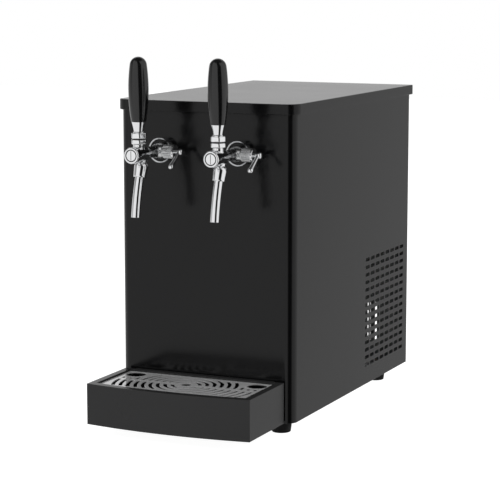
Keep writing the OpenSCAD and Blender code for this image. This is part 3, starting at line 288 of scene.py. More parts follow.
# %% Paints
tree, shader, place = start("black_paint", (0.003, 0.003, 0.0032), 0.165, level=0.24)
sheen(tree, shader, noise(tree, place, 9.0), 0.155, 0.175)
tint(tree, shader, noise(tree, place, 5.0), (0.0027, 0.0027, 0.0029), (0.0034, 0.0034, 0.0036))
relief(tree, shader, noise(tree, place, 420.0, 1.0), 0.04, 0.0004)
tree, shader, place = start("tray_paint", (0.015, 0.015, 0.0154), 0.26, level=0.26)
sheen(tree, shader, noise(tree, place, 14.0), 0.24, 0.28)
tint(tree, shader, noise(tree, place, 6.0), (0.0142, 0.0142, 0.0146), (0.0158, 0.0158, 0.0162))
relief(tree, shader, noise(tree, place, 520.0, 1.0), 0.03, 0.0003)
tree, shader, place = start("backing_coat", (0.34, 0.35, 0.35), 0.55, level=0.4)
tint(tree, shader, noise(tree, place, 25.0, 4.0), (0.30, 0.31, 0.31), (0.38, 0.39, 0.39))
print("paints:", list(finishes))

# %% [markdown]
# ### Chrome and bright steel
# The taps are plated brass: almost a mirror, with a trace of haze from polishing. The knurled band of
# the flow control scatters the light between its teeth, so it is given more haze than the rest, and the
# boss and the barrel behind it keep the fine lines of the lathe. The grille is bright rolled steel whose
# grain runs across the tray.

# %% Chrome and bright steel
tree, shader, place = start("tap_chrome", (0.77, 0.775, 0.785), 0.07, metal=1.0)
sheen(tree, shader, noise(tree, place, 60.0, 3.0), 0.05, 0.09)
relief(tree, shader, noise(tree, place, 700.0, 2.0), 0.01, 0.0002)
tree, shader, place = start("knurled_chrome", (0.6, 0.605, 0.61), 0.3, metal=1.0)
sheen(tree, shader, noise(tree, place, 300.0, 3.0), 0.25, 0.35)
relief(tree, shader, noise(tree, place, 900.0, 1.0, (0.05, 1.0, 1.0)), 0.5, 0.0005)
tree, shader, place = start("brushed_chrome", (0.5, 0.505, 0.51), 0.2, metal=1.0)
sheen(tree, shader, noise(tree, place, 400.0, 3.0, (0.1, 1.0, 1.0)), 0.14, 0.3)
relief(tree, shader, noise(tree, place, 500.0, 2.0, (0.04, 1.0, 1.0)), 0.1, 0.0003)
tree, shader, place = start("grille_steel", (0.66, 0.66, 0.665), 0.08, metal=0.5)
sheen(tree, shader, noise(tree, place, 60.0, 3.0, (0.05, 1.0, 1.0)), 0.06, 0.1)
relief(tree, shader, noise(tree, place, 900.0, 2.0, (0.03, 1.0, 1.0)), 0.02, 0.0002)
tree, shader, place = start("stainless", (0.62, 0.62, 0.61), 0.25, metal=1.0)
sheen(tree, shader, noise(tree, place, 90.0, 3.0), 0.2, 0.32)
print("bright metals:", list(finishes)[3:])

# %% [markdown]
# ### Metals inside the cabinet
# Zinc-coated sheet shows spangles, a cell pattern that only changes the roughness. Copper tube is
# patchy where it was brazed and handled. These are seen through the vents and when a panel is off.

# %% Metals inside the cabinet
tree, shader, place = start("zinc_steel", (0.55, 0.56, 0.57), 0.4, metal=1.0)
spangle = put(tree, "ShaderNodeTexVoronoi", [("Vector", place)], Scale=140.0)
sheen(tree, shader, spangle.outputs["Color"], 0.3, 0.5)
for name, colour, low, high in (("bare_aluminium", (0.72, 0.73, 0.74), 0.28, 0.42),
                                ("thermostat_case", (0.35, 0.36, 0.37), 0.3, 0.45)):
    tree, shader, place = start(name, colour, (low + high) / 2, metal=0.95)
    sheen(tree, shader, noise(tree, place, 90.0, 3.0), low, high)
tree, shader, place = start("copper_tube", (0.72, 0.36, 0.2), 0.3, metal=1.0)
tint(tree, shader, noise(tree, place, 30.0, 4.0), (0.55, 0.25, 0.13), (0.8, 0.42, 0.25))
print("with inner metals:", len(finishes))

# %% [markdown]
# ### Plastics, rubber and foam
# The handles are moulded and polished. The small fittings have a fine spark-eroded texture from their
# moulds, which is a relief too small to see but large enough to soften the sheen. Rubber is the most
# matt of all. With the last of them, every node of the frame takes the finish that its slot names.

# %% Plastics, rubber and foam
tree, shader, place = start("handle_plastic", (0.004, 0.004, 0.0042), 0.12)
sheen(tree, shader, noise(tree, place, 80.0, 3.0), 0.09, 0.14)
relief(tree, shader, noise(tree, place, 500.0, 2.0), 0.015, 0.0002)
for name, colour, low, high, level in (("black_plastic", (0.006, 0.006, 0.0062), 0.36, 0.5, 0.5),
                                       ("fitting_plastic", (0.09, 0.09, 0.1), 0.34, 0.46, 0.5),
                                       ("clear_hose", (0.75, 0.75, 0.7), 0.2, 0.32, 0.5),
                                       ("pot_paint", (0.01, 0.01, 0.011), 0.24, 0.36, 0.5),
                                       ("mark_ink", (0.7, 0.7, 0.68), 0.42, 0.58, 0.5),
                                       ("black_rubber", (0.004, 0.004, 0.004), 0.6, 0.8, 0.2)):
    tree, shader, place = start(name, colour, (low + high) / 2, level=level)
    sheen(tree, shader, noise(tree, place, 120.0, 3.0), low, high)
    relief(tree, shader, noise(tree, place, 1400.0, 2.0), 0.12, 0.0003)
tree, shader, place = start("foam", (0.72, 0.66, 0.5), 0.9)
relief(tree, shader, noise(tree, place, 500.0, 4.0), 0.4, 0.001)
for obj in nodes.values():
    obj.data.materials[0] = finishes[obj.data.materials[0].name.split(".")[0]]
print("finishes:", len(finishes), "on", len(nodes), "nodes")

# %% [markdown]
# ## How new pieces are made
# No real edge is perfectly sharp, and the thin highlight along it is what makes metal look like metal,
# so one helper bevels every edge that is sharper than an angle. The other gives a mesh its finish,
# lets it ride on a body of the frame, and hides the nodes that it stands for.

# %% Helpers for pieces
MM = 0.001


def soften(bm, width, sharper_than=30.0, segments=3, where=None, held=True):
    """Bevels every edge that is sharper than an angle, by a width in millimetres."""
    limit = math.radians(sharper_than)
    edges = [e for e in bm.edges if len(e.link_faces) == 2 and e.calc_face_angle() > limit
             and (where is None or where(e))]
    bmesh.ops.bevel(bm, geom=edges, offset=width * MM, offset_type="OFFSET", segments=segments,
                    profile=0.5, affect="EDGES", clamp_overlap=held, material=-1)
    return len(edges)


def piece(name, bm, body, slot, *stands_for, finish=None, second=None, sheet=0.0, sharp=32.0):
    """Makes the object: smooth up to an angle, with a finish and a ride, and hides the nodes it stands for.
    """
    mesh = bpy.data.meshes.new(name)
    bm.to_mesh(mesh)
    bm.free()
    mesh.polygons.foreach_set("use_smooth", [True] * len(mesh.polygons))
    mesh.set_sharp_from_angle(angle=math.radians(sharp))
    for each in filter(None, (finish or slot, second)):
        mesh.materials.append(finishes[each])
    obj = bpy.data.objects.new(name, mesh)
    scene.collection.objects.link(obj)
    if sheet:
        wall = obj.modifiers.new("sheet", "SOLIDIFY")
        wall.thickness, wall.offset = sheet * MM, -1.0
    obj.modifiers.new("even_normals", "WEIGHTED_NORMAL").keep_sharp = True
    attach(obj, body)
    if stands_for:
        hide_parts(*stands_for)
    return obj


# %% [markdown]
# ## The lid
# The lid is a shallow folded pan that overhangs the cabinet, with round corners at the front and a hem
# turned in underneath. A box is the quickest start: its two front uprights are bevelled to the corner
# radius, the underside is inset to leave the hem, and a Solidify modifier gives the sheet its thickness.

# %% Lid
LID_CORNER = 19.3
HEM = 4.0
LID_SHEET = 1.2


def boxed(bm, place, x, y, z):
    """Adds a box of a size in millimetres about a place."""
    size = Matrix.Diagonal((x * MM, y * MM, z * MM, 1))
    return bmesh.ops.create_cube(bm, size=1.0, matrix=place @ size)["verts"]


def is_upright(edge):
    """Whether an edge runs up and down."""
    return abs(edge.verts[0].co.z - edge.verts[1].co.z) > 0.1 * MM


low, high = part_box("top_lid")
bm = bmesh.new()
boxed(bm, Matrix.Translation((low + high) / 2), *((high - low) / MM))
bm.normal_update()
soften(bm, LID_CORNER, segments=14,
       where=lambda edge: is_upright(edge) and edge.verts[0].co.y < low.y + MM)
under = [f for f in bm.faces if f.normal.z < -0.9]
bmesh.ops.inset_region(bm, faces=under, thickness=HEM * MM, use_even_offset=True)
bmesh.ops.delete(bm, geom=under, context="FACES")
edges = soften(bm, LID_SHEET, 50)
lid = piece("lid", bm, "cabinet", "black_paint", "top_lid", sheet=LID_SHEET)
print("lid:", len(lid.data.polygons), "faces,", edges, "folded edges")

# %% [markdown]
# ## The cabinet's sheets
# The front and both sides are one bent sheet with two fields of punched vents, and a flat sheet closes
# the back. Rebuilding hundreds of slots by hand would only repeat what the frame holds, so a copy of
# each node is joined up and every punched edge is broken by a small bevel. Faces that look into the
# cabinet get the grey backing coat.

# %% Cabinet and rear panel
def merged(node):
    """A copy of a node's mesh with its loose triangles joined."""
    bm = bmesh.new()
    bm.from_mesh(nodes[node].data)
    bmesh.ops.remove_doubles(bm, verts=bm.verts, dist=2e-6)
    return bm


SHEET_ZONE = 3.0
low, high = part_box("cabinet_shell")
for name, node in (("cabinet", "cabinet_shell"), ("back_sheet", "rear_panel")):
    bm = merged(node)
    edges = soften(bm, 0.2, 50, 1, held=False)
    inner = 0
    for face in bm.faces:
        offset = face.calc_center_median() - (low + high) / 2
        inside = any(abs(face.normal[k]) > 0.9 and face.normal[k] * offset[k] < 0
                     and (high - low)[k] / 2 - abs(offset[k]) < SHEET_ZONE * MM for k in (0, 1))
        face.material_index = int(inside)
        inner += inside
    piece(name, bm, "cabinet", "black_paint", node, second="backing_coat", sharp=25.0)
    print(name + ":", edges, "edges broken,", inner, "inner faces")

# %% [markdown]
# ## The drip tray and its grille
# The tray is welded from folded sheet with a bowed front, and the grille is punched from bright steel.
# Both keep the outlines of the frame; the folds of the tray are rounded more than the punched edges.

# %% Tray and grille
bm = merged("drip_tray")
edges = soften(bm, 0.5, 40, 2, held=False)
tray = piece("tray", bm, "tray_body", "black_paint", "drip_tray", finish="tray_paint")
print("tray:", len(tray.data.polygons), "faces,", edges, "edges rolled")
bm = merged("drip_grille")
edges = soften(bm, 0.2, 40, 1, held=False)
grille = piece("grille", bm, "grille_body", "grille_steel", "drip_grille")
print("grille:", len(grille.data.polygons), "faces,", edges, "edges rolled")

# %% [markdown]
# ## The taps
# Nearly everything on a tap is round, so its parts are drawn as half an outline and spun round an axis,
# as on a lathe. Each tap has a frame of its own: the origin is on its axis where the flange meets the
# front panel, and distances along the axis are counted from there towards the front.

# %% Tap frames and the lathe
SIDES = ("left", "right")
FORWARD = Matrix.Rotation(math.radians(90), 4, "X")
SIDEWAYS = Matrix.Rotation(math.radians(90), 4, "Y")
FLOW_AT, SPOUT_AT, LEVER_AT = 22.6, 59.6, 72.0
PIVOT_UP = 15.0
taps = {}
for side in SIDES:
    low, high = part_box(f"rosette_{side}")
    taps[side] = Matrix.Translation(((low.x + high.x) / 2, high.y, (low.z + high.z) / 2))
    print("tap", side, [round(v * 1000, 1) for v in taps[side].translation])


def moved(x, y, z):
    """A shift in millimetres."""
    return Matrix.Translation((x * MM, y * MM, z * MM))


def turned(outline, place, steps=64, closed=False, bm=None):
    """Spins (radius, along) points in millimetres round local Z, then moves the result to its place."""
    bm = bm or bmesh.new()
    before = set(bm.verts)
    points = [bm.verts.new((radius * MM, 0.0, along * MM)) for radius, along in outline]
    pairs = list(zip(points, points[1:])) + ([(points[-1], points[0])] if closed else [])
    lines = [bm.edges.new(pair) for pair in pairs]
    bmesh.ops.spin(bm, geom=points + lines, cent=(0, 0, 0), axis=(0, 0, 1), angle=2 * math.pi,
                   steps=steps, use_merge=True)
    bmesh.ops.remove_doubles(bm, verts=[v for v in bm.verts if v not in before], dist=1e-7)
    new = [v for v in bm.verts if v not in before]
    bmesh.ops.recalc_face_normals(bm, faces=list({f for v in new for f in v.link_faces}))
    bmesh.ops.transform(bm, matrix=place, verts=new)
    return bm


# %% [markdown]
# ### Wall flange
# A cup of chromed brass: only its thin lip, which slopes inwards, catches the light, and its dished
# inside is dark. It is turned in one go, and the faces of the dish get black paint as painted shade,
# where a shaded chrome hollow would look dark.

# %% Wall flanges
LIP_OUT, LIP_IN = 17.0, 15.2


def coat(bm, place, wanted):
    """Gives the second finish to each face whose middle, in millimetres from a place, is wanted."""
    back = place.inverted()
    for face in bm.faces:
        face.material_index = int(wanted(*(back @ face.calc_center_median() / MM)))


# Faces inside the lip, which are painted black as painted shade.
def in_painted_shade_dish(x, y, z):
    return y < -0.5 and math.hypot(x, z) < LIP_IN


for side in SIDES:
    bm = turned([(8.6, 0), (15.6, 0), (LIP_OUT, 9.6), (LIP_OUT, 11.7), (16.85, 12.0), (LIP_IN, 11.05),
                 (14.9, 10.2), (14.3, 9.4), (13.0, 9.0), (8.6, 9.0)],
                taps[side] @ FORWARD, closed=True, steps=96)
    # The dish is painted black: painted shade inside the cup.
    coat(bm, taps[side], in_painted_shade_dish)
    piece(f"wall_flange_{side}", bm, "cabinet", "tap_chrome", f"rosette_{side}", second="black_paint")
print("wall flanges: lip", round(LIP_OUT - LIP_IN, 1), "mm")

# %% [markdown]
# ### Tap body
# The body is one casting: a barrel that swells towards the wall, a valve chamber, a post under the
# lever, a leaning socket for the spout and a boss for the flow control. Each is turned by itself. A
# voxel remesh runs them together and a little smoothing leaves the fillets that a casting has. Then
# the chamber and the slot for the lever's tail are cut out with booleans, as they would be drilled and
# milled.

# %% Tap bodies
SPOUT_LEAN = -19.4
VOXEL = 0.45
SLOT_UP = 9.0


def carved(bm, *cutters, fuse=False):
    """Cuts closed meshes out of another with exact booleans, after fusing its shapes if wanted."""
    solids = []
    for label, source in (("stock", bm), *(("cutter", cutter) for cutter in cutters)):
        solids.append(bpy.data.objects.new(label, bpy.data.meshes.new(label)))
        source.to_mesh(solids[-1].data)
        source.free()
        scene.collection.objects.link(solids[-1])
    if fuse:
        cast = solids[0].modifiers.new("fuse", "REMESH")
        cast.mode, cast.voxel_size = "VOXEL", VOXEL * MM
        fillet = solids[0].modifiers.new("fillet", "SMOOTH")
        fillet.factor, fillet.iterations = 0.5, 10
    for solid in solids[1:]:
        cut = solids[0].modifiers.new("cut", "BOOLEAN")
        cut.operation, cut.solver, cut.object = "DIFFERENCE", "EXACT", solid
    bpy.context.view_layer.update()
    finished = solids[0].evaluated_get(bpy.context.evaluated_depsgraph_get())
    result = bmesh.new()
    result.from_mesh(bpy.data.meshes.new_from_object(finished))
    for solid in solids:
        bpy.data.objects.remove(solid)
    return result


def is_brushed(x, y, z):
    """On the boss of the flow control, or on the barrel behind the valve chamber."""
    on_boss = x > 6.0 and math.hypot(y + FLOW_AT, z) < 9.4
    return on_boss or (-48.0 < y < -9.0 and math.hypot(x, z) < 11.3)


for side in SIDES:
    tap = taps[side]
    post = tap @ moved(0, -LEVER_AT, 0)
    spout = tap @ moved(0, -SPOUT_AT, 0) @ Matrix.Rotation(math.radians(SPOUT_LEAN), 4, "X")
    bm = turned([(0, 8.6), (11.0, 8.6), (11.0, 13.0), (10.1, 17.5), (9.2, 23.0), (8.3, 30.0), (7.6, 38.0),
                 (7.25, 45.0), (7.2, 50.0), (7.9, 53.0), (9.0, 56.0), (9.6, 59.0), (9.6, 86.6), (0, 86.6)],
                tap @ FORWARD)
    turned([(0, 0), (7.6, 0), (7.6, 13.7), (0, 13.7)], post, bm=bm)
    turned([(0, -33.3), (8.0, -33.3), (8.4, -32.9), (9.5, -18.4), (9.3, -17.0), (8.8, -15.6), (7.8, -14.2),
            (6.4, -13.0), (0, -12.4)], spout, bm=bm)
    turned([(0, -14), (6.5, -14), (6.5, 0), (0, 0)], spout, bm=bm)
    turned([(0, 0), (9.1, 0), (9.1, 12.8), (0, 12.8)], tap @ moved(0, -FLOW_AT, 0) @ SIDEWAYS, bm=bm)
    chamber = turned([(0, 52), (6.2, 52), (6.2, 90), (0, 90)], tap @ FORWARD)
    slot = bmesh.new()
    for vert in boxed(slot, moved(0, 0, SLOT_UP), 6.0, 14.4, 10.0):
        vert.co.y *= 1.0 if vert.co.z < SLOT_UP * MM else 0.52
    bmesh.ops.transform(slot, matrix=post, verts=slot.verts)
    bm = carved(bm, chamber, slot, fuse=True)
    coat(bm, tap, is_brushed)
    body = piece(f"body_{side}", bm, "cabinet", "tap_chrome", f"tap_body_{side}", second="brushed_chrome")
    print("tap body", side, len(body.data.polygons), "faces")

# %% [markdown]
# ### Front cap
# The cap screws onto the valve chamber. Its face has a round groove and a driver slot. The groove is
# part of the turned outline, and the slot is cut with a boolean, as a milling cutter would. The faces
# down in the groove and the slot are painted black as painted shade, as a deep cut would be dark.

# %% Front caps
CAP_FACE, CAP_DEEP = 95.0, 12.0


# Faces down in the groove and the slot, which are painted black as painted shade.
def in_painted_shade_groove(x, y, z):
    return 0.4 < y + CAP_FACE < 2.5 and math.hypot(x, z) < 8.2


for side in SIDES:
    bm = turned([(0, 9.0), (6.2, 9.0), (6.2, 4.1), (10.05, 4.1), (10.05, 0), (10.5, 0.05), (11.0, 0.8),
                 (11.0, 9.8), (10.7, 11.0), (10.0, 11.7), (9.2, 11.95), (8.3, 11.8), (8.1, 11.2), (8.1, 10.4),
                 (7.1, 10.4), (7.1, 11.2), (6.9, 11.75), (6.4, CAP_DEEP), (0, CAP_DEEP)],
                taps[side] @ moved(0, CAP_DEEP - CAP_FACE, 0) @ FORWARD, steps=72)
    cutter = bmesh.new()
    boxed(cutter, taps[side] @ moved(0, -CAP_FACE, 0), 0.8, 1.4, 12.2)
    bm = carved(bm, cutter)
    # The groove and the slot get black paint: painted shade.
    coat(bm, taps[side], in_painted_shade_groove)
    cap = piece(f"cap_{side}", bm, "cabinet", "tap_chrome", f"front_cap_{side}", second="black_paint")
print("caps:", len(cap.data.polygons), "faces")

# %% [markdown]
# ### Collar, swivel ring and ferrule
# Two six-sided rings sit on top of the body. The lower one is fixed; the upper one belongs to the
# lever and slides over a dome when the handle is pulled, so its underside is hollowed with a sphere.
# Strongly rounded corners keep the lower ring inside that sphere, so that the two never touch. The
# lower ring is bored for the lever's ball, and the friction dome in it has a mouth that leaves room for
# the swing. The dome is black partly as a friction washer's own colour and partly as painted shade in
# the gap between the rings.

# %% Hexagonal rings
HEX = 11.3
DOME, DOME_PLAY = 11.1, 0.35


def hexagon(place, low, high):
    """A six-sided ring with round corners and rolled edges, between two heights."""
    bm = bmesh.new()
    bmesh.ops.create_cone(bm, cap_ends=True, segments=6, radius1=HEX * MM, radius2=HEX * MM,
                          depth=(high - low) * MM,
                          matrix=moved(0, 0, (low + high) / 2) @ Matrix.Rotation(math.radians(30), 4, "Z"))
    soften(bm, 2.3, 50, 6, where=is_upright)
    soften(bm, 1.4, 60, 4)
    bmesh.ops.transform(bm, matrix=place, verts=bm.verts)
    return bm


def mark(bm, plain):
    """Gives every face that came after the plain ones the second finish."""
    for face in bm.faces:
        face.material_index = int(face not in plain)


for side in SIDES:
    place = taps[side] @ moved(0, -LEVER_AT, PIVOT_UP)
    bore = turned([(0, -3), (6.1, -3), (6.1, 0), (5.5, 1.8), (5.0, 2.9), (5.95, 4.9), (6.4, 6.0), (0, 6.0)],
                  place)
    bm = carved(hexagon(place, -1.4, 4.9), bore)
    ring_faces = set(bm.faces)
    turned([(8.4, 4.0), (8.4, 6.8), (8.1, 7.5), (7.6, 8.0), (7.35, 8.0), (5.55, 4.0)],
           place, bm=bm, closed=True)
    # The dome is black: a friction washer, and painted shade in the gap between the rings.
    mark(bm, ring_faces)
    piece(f"collar_{side}", bm, "cabinet", "tap_chrome", f"lever_collar_{side}", second="black_plastic")
    cutter = bmesh.new()
    bmesh.ops.create_uvsphere(cutter, u_segments=64, v_segments=48, radius=(DOME + DOME_PLAY) * MM,
                              matrix=place)
    bm = carved(hexagon(place, 6.2, 13.6), cutter)
    turned([(3.2, 12.6), (7.4, 12.6), (7.4, 14.4), (7.0, 15.0), (6.5, 15.3), (6.6, 16.2), (7.2, 19.6),
            (8.0, 23.0), (8.7, 25.6), (9.2, 27.6), (9.4, 28.6), (9.4, 29.0), (3.2, 29.0)],
           place, bm=bm, closed=True)
    ring = piece(f"swivel_{side}", bm, f"tap_lever_{side}_body", "tap_chrome", f"lever_ferrule_{side}")
print("rings:", len(ring.data.polygons), "faces")

# %% [markdown]
# ### Handle
# The grip is a turned shape too: one long arc up the side that runs into a round end. Two circles that
# touch give the outline exactly, so the curve has no kink where the light would show one.

# %% Handles
BOTTOM, LENGTH, FOOT, WIDE, WIDE_AT = 43.0, 86.1, 9.8, 13.5, 43.0
HOLE_R, HOLE_DEEP = 3.2, 40.0
EDGE = 0.7
SIDE_STEPS, END_STEPS = 32, 16
rest = LENGTH - WIDE_AT
long_r = (WIDE_AT ** 2 + (WIDE - FOOT) ** 2) / (2 * (WIDE - FOOT))
end_r = (2 * long_r * WIDE - WIDE ** 2 - rest ** 2) / (2 * (long_r - rest))
end_at = LENGTH - end_r
meet = WIDE_AT + long_r * (end_at - WIDE_AT) / (long_r - end_r)
first = math.asin((meet - end_at) / end_r)
outline = [(0.0, HOLE_DEEP), (HOLE_R, HOLE_DEEP), (HOLE_R, 0.0), (9.0, 0.0), (9.5, 0.2)]
for k in range(SIDE_STEPS + 1):
    along = EDGE + k / SIDE_STEPS * (meet - EDGE)
    outline.append((WIDE - long_r + math.sqrt(long_r ** 2 - (along - WIDE_AT) ** 2), along))
for k in range(1, END_STEPS):
    angle = first + k / END_STEPS * (math.pi / 2 - first)
    outline.append((end_r * math.cos(angle), end_at + end_r * math.sin(angle)))
outline.append((0.0, LENGTH))
for side in SIDES:
    bm = turned(outline, taps[side] @ moved(0, -LEVER_AT, BOTTOM), steps=72)
    piece(f"handle_{side}", bm, f"tap_lever_{side}_body", "handle_plastic", f"tap_handle_{side}")
print("handles:", len(outline), "points, end radius", round(end_r, 1), "mm")

# %% [markdown]
# ### Spout
# The spout is a bent tube. Its bend is already in the frame, so a joined copy is taken and only the cut
# end is rounded, inside and outside.

# %% Spouts
for side in SIDES:
    bm = merged(f"spout_{side}")
    edges = soften(bm, 0.4, 60, 3, held=False)
    piece(f"spout_tube_{side}", bm, "cabinet", "tap_chrome", f"spout_{side}")
print("spouts:", edges, "edges rounded")

# %% [markdown]
# ### Flow control
# The bonnet beside the barrel is knurled so that wet fingers can loosen it. A knurl could be a bump
# texture, but its teeth show on the outline, so the columns of the spun band are drawn in along a cosine.
# The knob in front of it carries a short arm that swells to a round end.

# %% Bonnets and flow levers
TEETH = 26
KNURL, KNURL_R = (13.6, 26.2), 9.5
ARM_OUT, ARM_DOWN = 35.05, 35.0


def fluted(bm, count, depth, low, high, least):
    """Draws the columns of a spun band in along a cosine, between two heights and outside a radius."""
    for vert in bm.verts:
        if low < vert.co.z / MM < high and vert.co.xy.length > least * MM:
            vert.co.xy *= 1 - depth * (1 + math.cos(count * math.atan2(vert.co.y, vert.co.x)))


def on_knurl(x, y, z):
    return KNURL[0] < z < KNURL[1] and math.hypot(x, y) > 8.5


for side in SIDES:
    place = taps[side] @ moved(0, -FLOW_AT, 0) @ SIDEWAYS
    bm = turned([(3.1, 13), (9.2, 13), (9.4, 13.2), (KNURL_R, KNURL[0]), (KNURL_R, KNURL[1]), (9.1, 26.4),
                 (9.1, 26.8), (9.4, 27.0), (9.6, 27.4), (9.6, 28.5), (9.3, 29.1), (8.6, 29.4), (3.1, 29.4)],
                Matrix.Identity(4), steps=4 * TEETH, closed=True)
    fluted(bm, TEETH, 0.02, KNURL[0] - 0.1, KNURL[1] + 0.1, KNURL_R - 0.05)
    coat(bm, Matrix.Identity(4), on_knurl)
    bmesh.ops.transform(bm, matrix=place, verts=bm.verts)
    piece(f"bonnet_{side}", bm, "cabinet", "tap_chrome", f"flow_bonnet_{side}", second="knurled_chrome",
          sharp=20.0)
    bm = turned([(0, 18), (3.0, 18), (3.0, 35.4), (3.3, 35.8), (4.2, 36.1), (4.7, 36.7), (4.75, 37.6),
                 (4.5, 38.8), (3.8, 39.7), (2.6, 40.2), (1.2, 40.4), (0, 40.4)], place, steps=48)
    arm = taps[side] @ moved(ARM_OUT, -FLOW_AT, 0) @ Matrix.Rotation(math.radians(90 + ARM_DOWN), 4, "X")
    turned([(0, 0), (2.5, 0), (2.6, 5), (2.8, 15), (3.0, 22), (3.25, 26), (3.6, 29), (3.65, 30.4),
            (3.45, 31.8), (2.8, 32.9), (1.6, 33.7), (0, 34.0)], arm, bm=bm, steps=32)
    lever = piece(f"flow_arm_{side}", bm, f"flow_{side}_body", "tap_chrome", f"flow_lever_{side}")
print("flow control:", TEETH, "teeth,", len(lever.data.polygons), "faces on a lever")

# %% [markdown]
# ## Feet
# Four moulded rubber feet, each with a well for its screw. They are turned with a rolled lower edge.

# %% Feet
FOOT_R = 15.0
low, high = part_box("rubber_feet")
foot_places = [Matrix.Translation((x, y, 0)) for x in (low.x + FOOT_R * MM, high.x - FOOT_R * MM)
               for y in (low.y + FOOT_R * MM, high.y - FOOT_R * MM)]
bm = bmesh.new()
for place in foot_places:
    turned([(2.05, 15), (14.6, 15), (FOOT_R, 14.5), (14.9, 12.4), (14.5, 12.0), (13.2, 1.4), (12.9, 0.5),
            (12.2, 0.0), (6.7, 0.0), (6.1, 0.5), (6.0, 6.0), (2.05, 6.0)],
           place, bm=bm, closed=True, steps=48)
feet = piece("feet", bm, "cabinet", "black_rubber", "rubber_feet")
print("feet:", len(feet.data.polygons), "faces")

# %% [markdown]
# ## The fittings at the back
# The dial of the thermostat is moulded: a skirt, a fluted grip and a white line. It is spun with six
# columns to a flute, and its grip is fluted as the knurl was. The thin plate behind it carries the
# scale, with strokes that grow as the setting gets colder.

# %% Dial and scale
REARWARD = Matrix.Rotation(math.radians(-90), 4, "X")
FLUTES = 18
STROKES, SWEEP = 10, 270
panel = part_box("rear_panel")[1].y


def on_panel(node):
    """The middle of a node's box, on the outer face of the rear panel."""
    low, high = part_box(node)
    return Matrix.Translation(((low.x + high.x) / 2, panel, (low.z + high.z) / 2))


centre = on_panel("thermostat_knob")
bm = turned([(0, -15.2), (3, -15.2), (3, 0.6), (14.6, 0.6), (15, 1.0), (15, 2.8), (14.4, 3.6), (12.6, 4.2),
             (12.0, 5.2), (11.4, 12.2), (11.0, 13.2), (10.3, 13.8), (9.5, 14.0), (8.7, 13.7), (0, 13.6)],
            Matrix.Identity(4), steps=6 * FLUTES)
fluted(bm, FLUTES, 0.03, 4.5, 13.0, 10.6)
bmesh.ops.transform(bm, matrix=centre @ REARWARD, verts=bm.verts)
plain = set(bm.faces)
boxed(bm, centre @ moved(0, 13.65, 5.6), 1.2, 0.5, 5.6)
mark(bm, plain)
piece("dial", bm, "dial_body", "black_plastic", "thermostat_knob", second="mark_ink")
bm = turned([(8, 0), (24, 0), (24, 0.3), (23.8, 0.4), (8, 0.4)], centre @ REARWARD, steps=96, closed=True)
plain = set(bm.faces)
for k in range(STROKES):
    length = 1.8 + 0.22 * k
    turn = Matrix.Rotation(math.radians(SWEEP / (STROKES - 1) * k), 4, "Y")
    boxed(bm, centre @ turn @ moved(0, 0.4, 17.4 + length / 2), 0.9, 0.2, length)
mark(bm, plain)
piece("dial_scale", bm, "cabinet", "black_plastic", second="mark_ink")
print("dial:", FLUTES, "flutes,", STROKES, "strokes")

# %% [markdown]
# ### Switch
# The rocker's side is drawn once and extruded to its width, and all its outer edges are rolled. The
# bar and the ring for on and off are printed on, so they are thin shapes laid on the two faces.

# %% Switch rocker
ROCKER_WIDTH = 10.6
ROCKER_TILT = -8.0
ROCKER_SIDE = ((-3, -3), (-3, 3), (0, 7.6), (6.6, 7.2), (5.2, 0), (6.6, -7.2), (0, -7.6))
bm = bmesh.new()
cheek = bm.faces.new([bm.verts.new((-ROCKER_WIDTH / 2 * MM, y * MM, z * MM)) for y, z in ROCKER_SIDE])
grown = bmesh.ops.extrude_face_region(bm, geom=[cheek])["geom"]
bmesh.ops.translate(bm, vec=(ROCKER_WIDTH * MM, 0, 0),
                    verts=[v for v in grown if isinstance(v, bmesh.types.BMVert)])
bmesh.ops.recalc_face_normals(bm, faces=bm.faces)
edges = soften(bm, 0.5)
turned([(0, -6.1), (1, -6.1), (1, 6.1), (0, 6.1)], SIDEWAYS, steps=16, bm=bm)
plain = set(bm.faces)
boxed(bm, moved(0, 5.95, 3.8) @ Matrix.Rotation(math.radians(-11), 4, "X"), 0.7, 0.2, 3.0)
turned([(1.0, -0.1), (1.6, -0.1), (1.6, 0.1), (1.0, 0.1)],
       moved(0, 5.95, -3.8) @ Matrix.Rotation(math.radians(11), 4, "X") @ REARWARD,
       steps=32, closed=True, bm=bm)
mark(bm, plain)
open_edges = sum(not e.is_manifold for e in bm.edges)
tilted = moved(0, -3, 0) @ Matrix.Rotation(math.radians(ROCKER_TILT), 4, "X")
bmesh.ops.transform(bm, matrix=on_panel("switch_frame") @ tilted, verts=bm.verts)
piece("rocker", bm, "rocker_body", "black_plastic", "switch_rocker", second="mark_ink")
print("rocker:", edges, "edges rolled,", open_edges, "open")

# %% [markdown]
# ### Bezel, power socket and push-in fittings
# These three are moulded, and their shapes are in the frame already, so joined copies get rolled edges.
# The pins of the socket are plated metal, and the release collars of the push-in fittings are black.

# %% Rear mouldings
PINS = ((-7, -2), (0, 2.5), (7, -2))
COLLAR_FROM = 20.05


def is_pin(x, y, z):
    return y > -15.9 and any(abs(x - px) < 1.1 and abs(z - pz) < 2.1 for px, pz in PINS)


def is_collar(x, y, z):
    return y > COLLAR_FROM


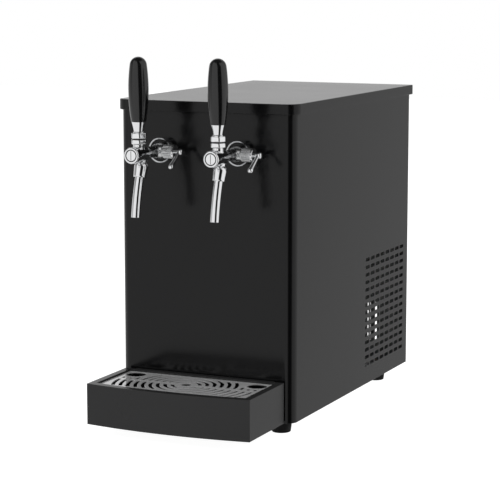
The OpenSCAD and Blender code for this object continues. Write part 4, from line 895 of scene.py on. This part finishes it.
for name, node, slot, second, wanted in (
        ("switch_bezel", "switch_frame", "black_plastic", None, None),
        ("power_socket", "power_inlet", "black_plastic", "stainless", is_pin),
        ("push_in_left", "beer_inlet_left", "fitting_plastic", "black_plastic", is_collar),
        ("push_in_right", "beer_inlet_right", "fitting_plastic", "black_plastic", is_collar)):
    bm = merged(node)
    edges = soften(bm, 0.25, 40, 2, held=False)
    if wanted:
        coat(bm, on_panel(node), wanted)
    piece(name, bm, "cabinet", slot, node, second=second)
    print(name + ":", edges, "edges rolled")

# %% [markdown]
# ### Screws
# One pan head is turned and its cross recess is cut with two bars. The head has 28 steps, so that no
# corner of the recess falls on one of its edges. Copies of it go down both sides of the rear panel and
# up into the feet.

# %% Screws
ROWS = 4
LOWEST_ROW = 55.0
HEAD_R = 3.6
RECESS = ((4.2, 0.8, 1.6), (0.8, 4.2, 1.5))
RECESS_UP = 2.0
bars = []
for size in RECESS:
    bars.append(bmesh.new())
    boxed(bars[-1], moved(0, 0, RECESS_UP), *size)
head = turned([(0, -10), (1.9, -10), (1.9, 0), (HEAD_R, 0), (HEAD_R, 0.7), (3.35, 1.35), (2.7, 1.9),
               (1.7, 2.15), (0, 2.2)], Matrix.Identity(4), steps=28)
screw = bpy.data.meshes.new("screw")
carved(head, *bars).to_mesh(screw)
low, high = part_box("case_screws")
top_row = high.z - HEAD_R * MM
screw_places = [place @ moved(0, 0, 6) @ Matrix.Rotation(math.pi, 4, "X") for place in foot_places]
for x in (low.x + HEAD_R * MM, high.x - HEAD_R * MM):
    for k in range(ROWS):
        z = LOWEST_ROW * MM + k / (ROWS - 1) * (top_row - LOWEST_ROW * MM)
        screw_places.append(Matrix.Translation((x, panel, z)) @ REARWARD)
bm = bmesh.new()
for place in screw_places:
    before = set(bm.verts)
    bm.from_mesh(screw)
    bmesh.ops.transform(bm, matrix=place, verts=[v for v in bm.verts if v not in before])
screws = piece("screws", bm, "cabinet", "zinc_steel", "case_screws")
print("screws:", len(screw_places), "with", len(screw.polygons), "faces each")

# %% Close
low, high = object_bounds()
print("model:", [round((b - a) * 1000, 1) for a, b in zip(low, high)], "mm")
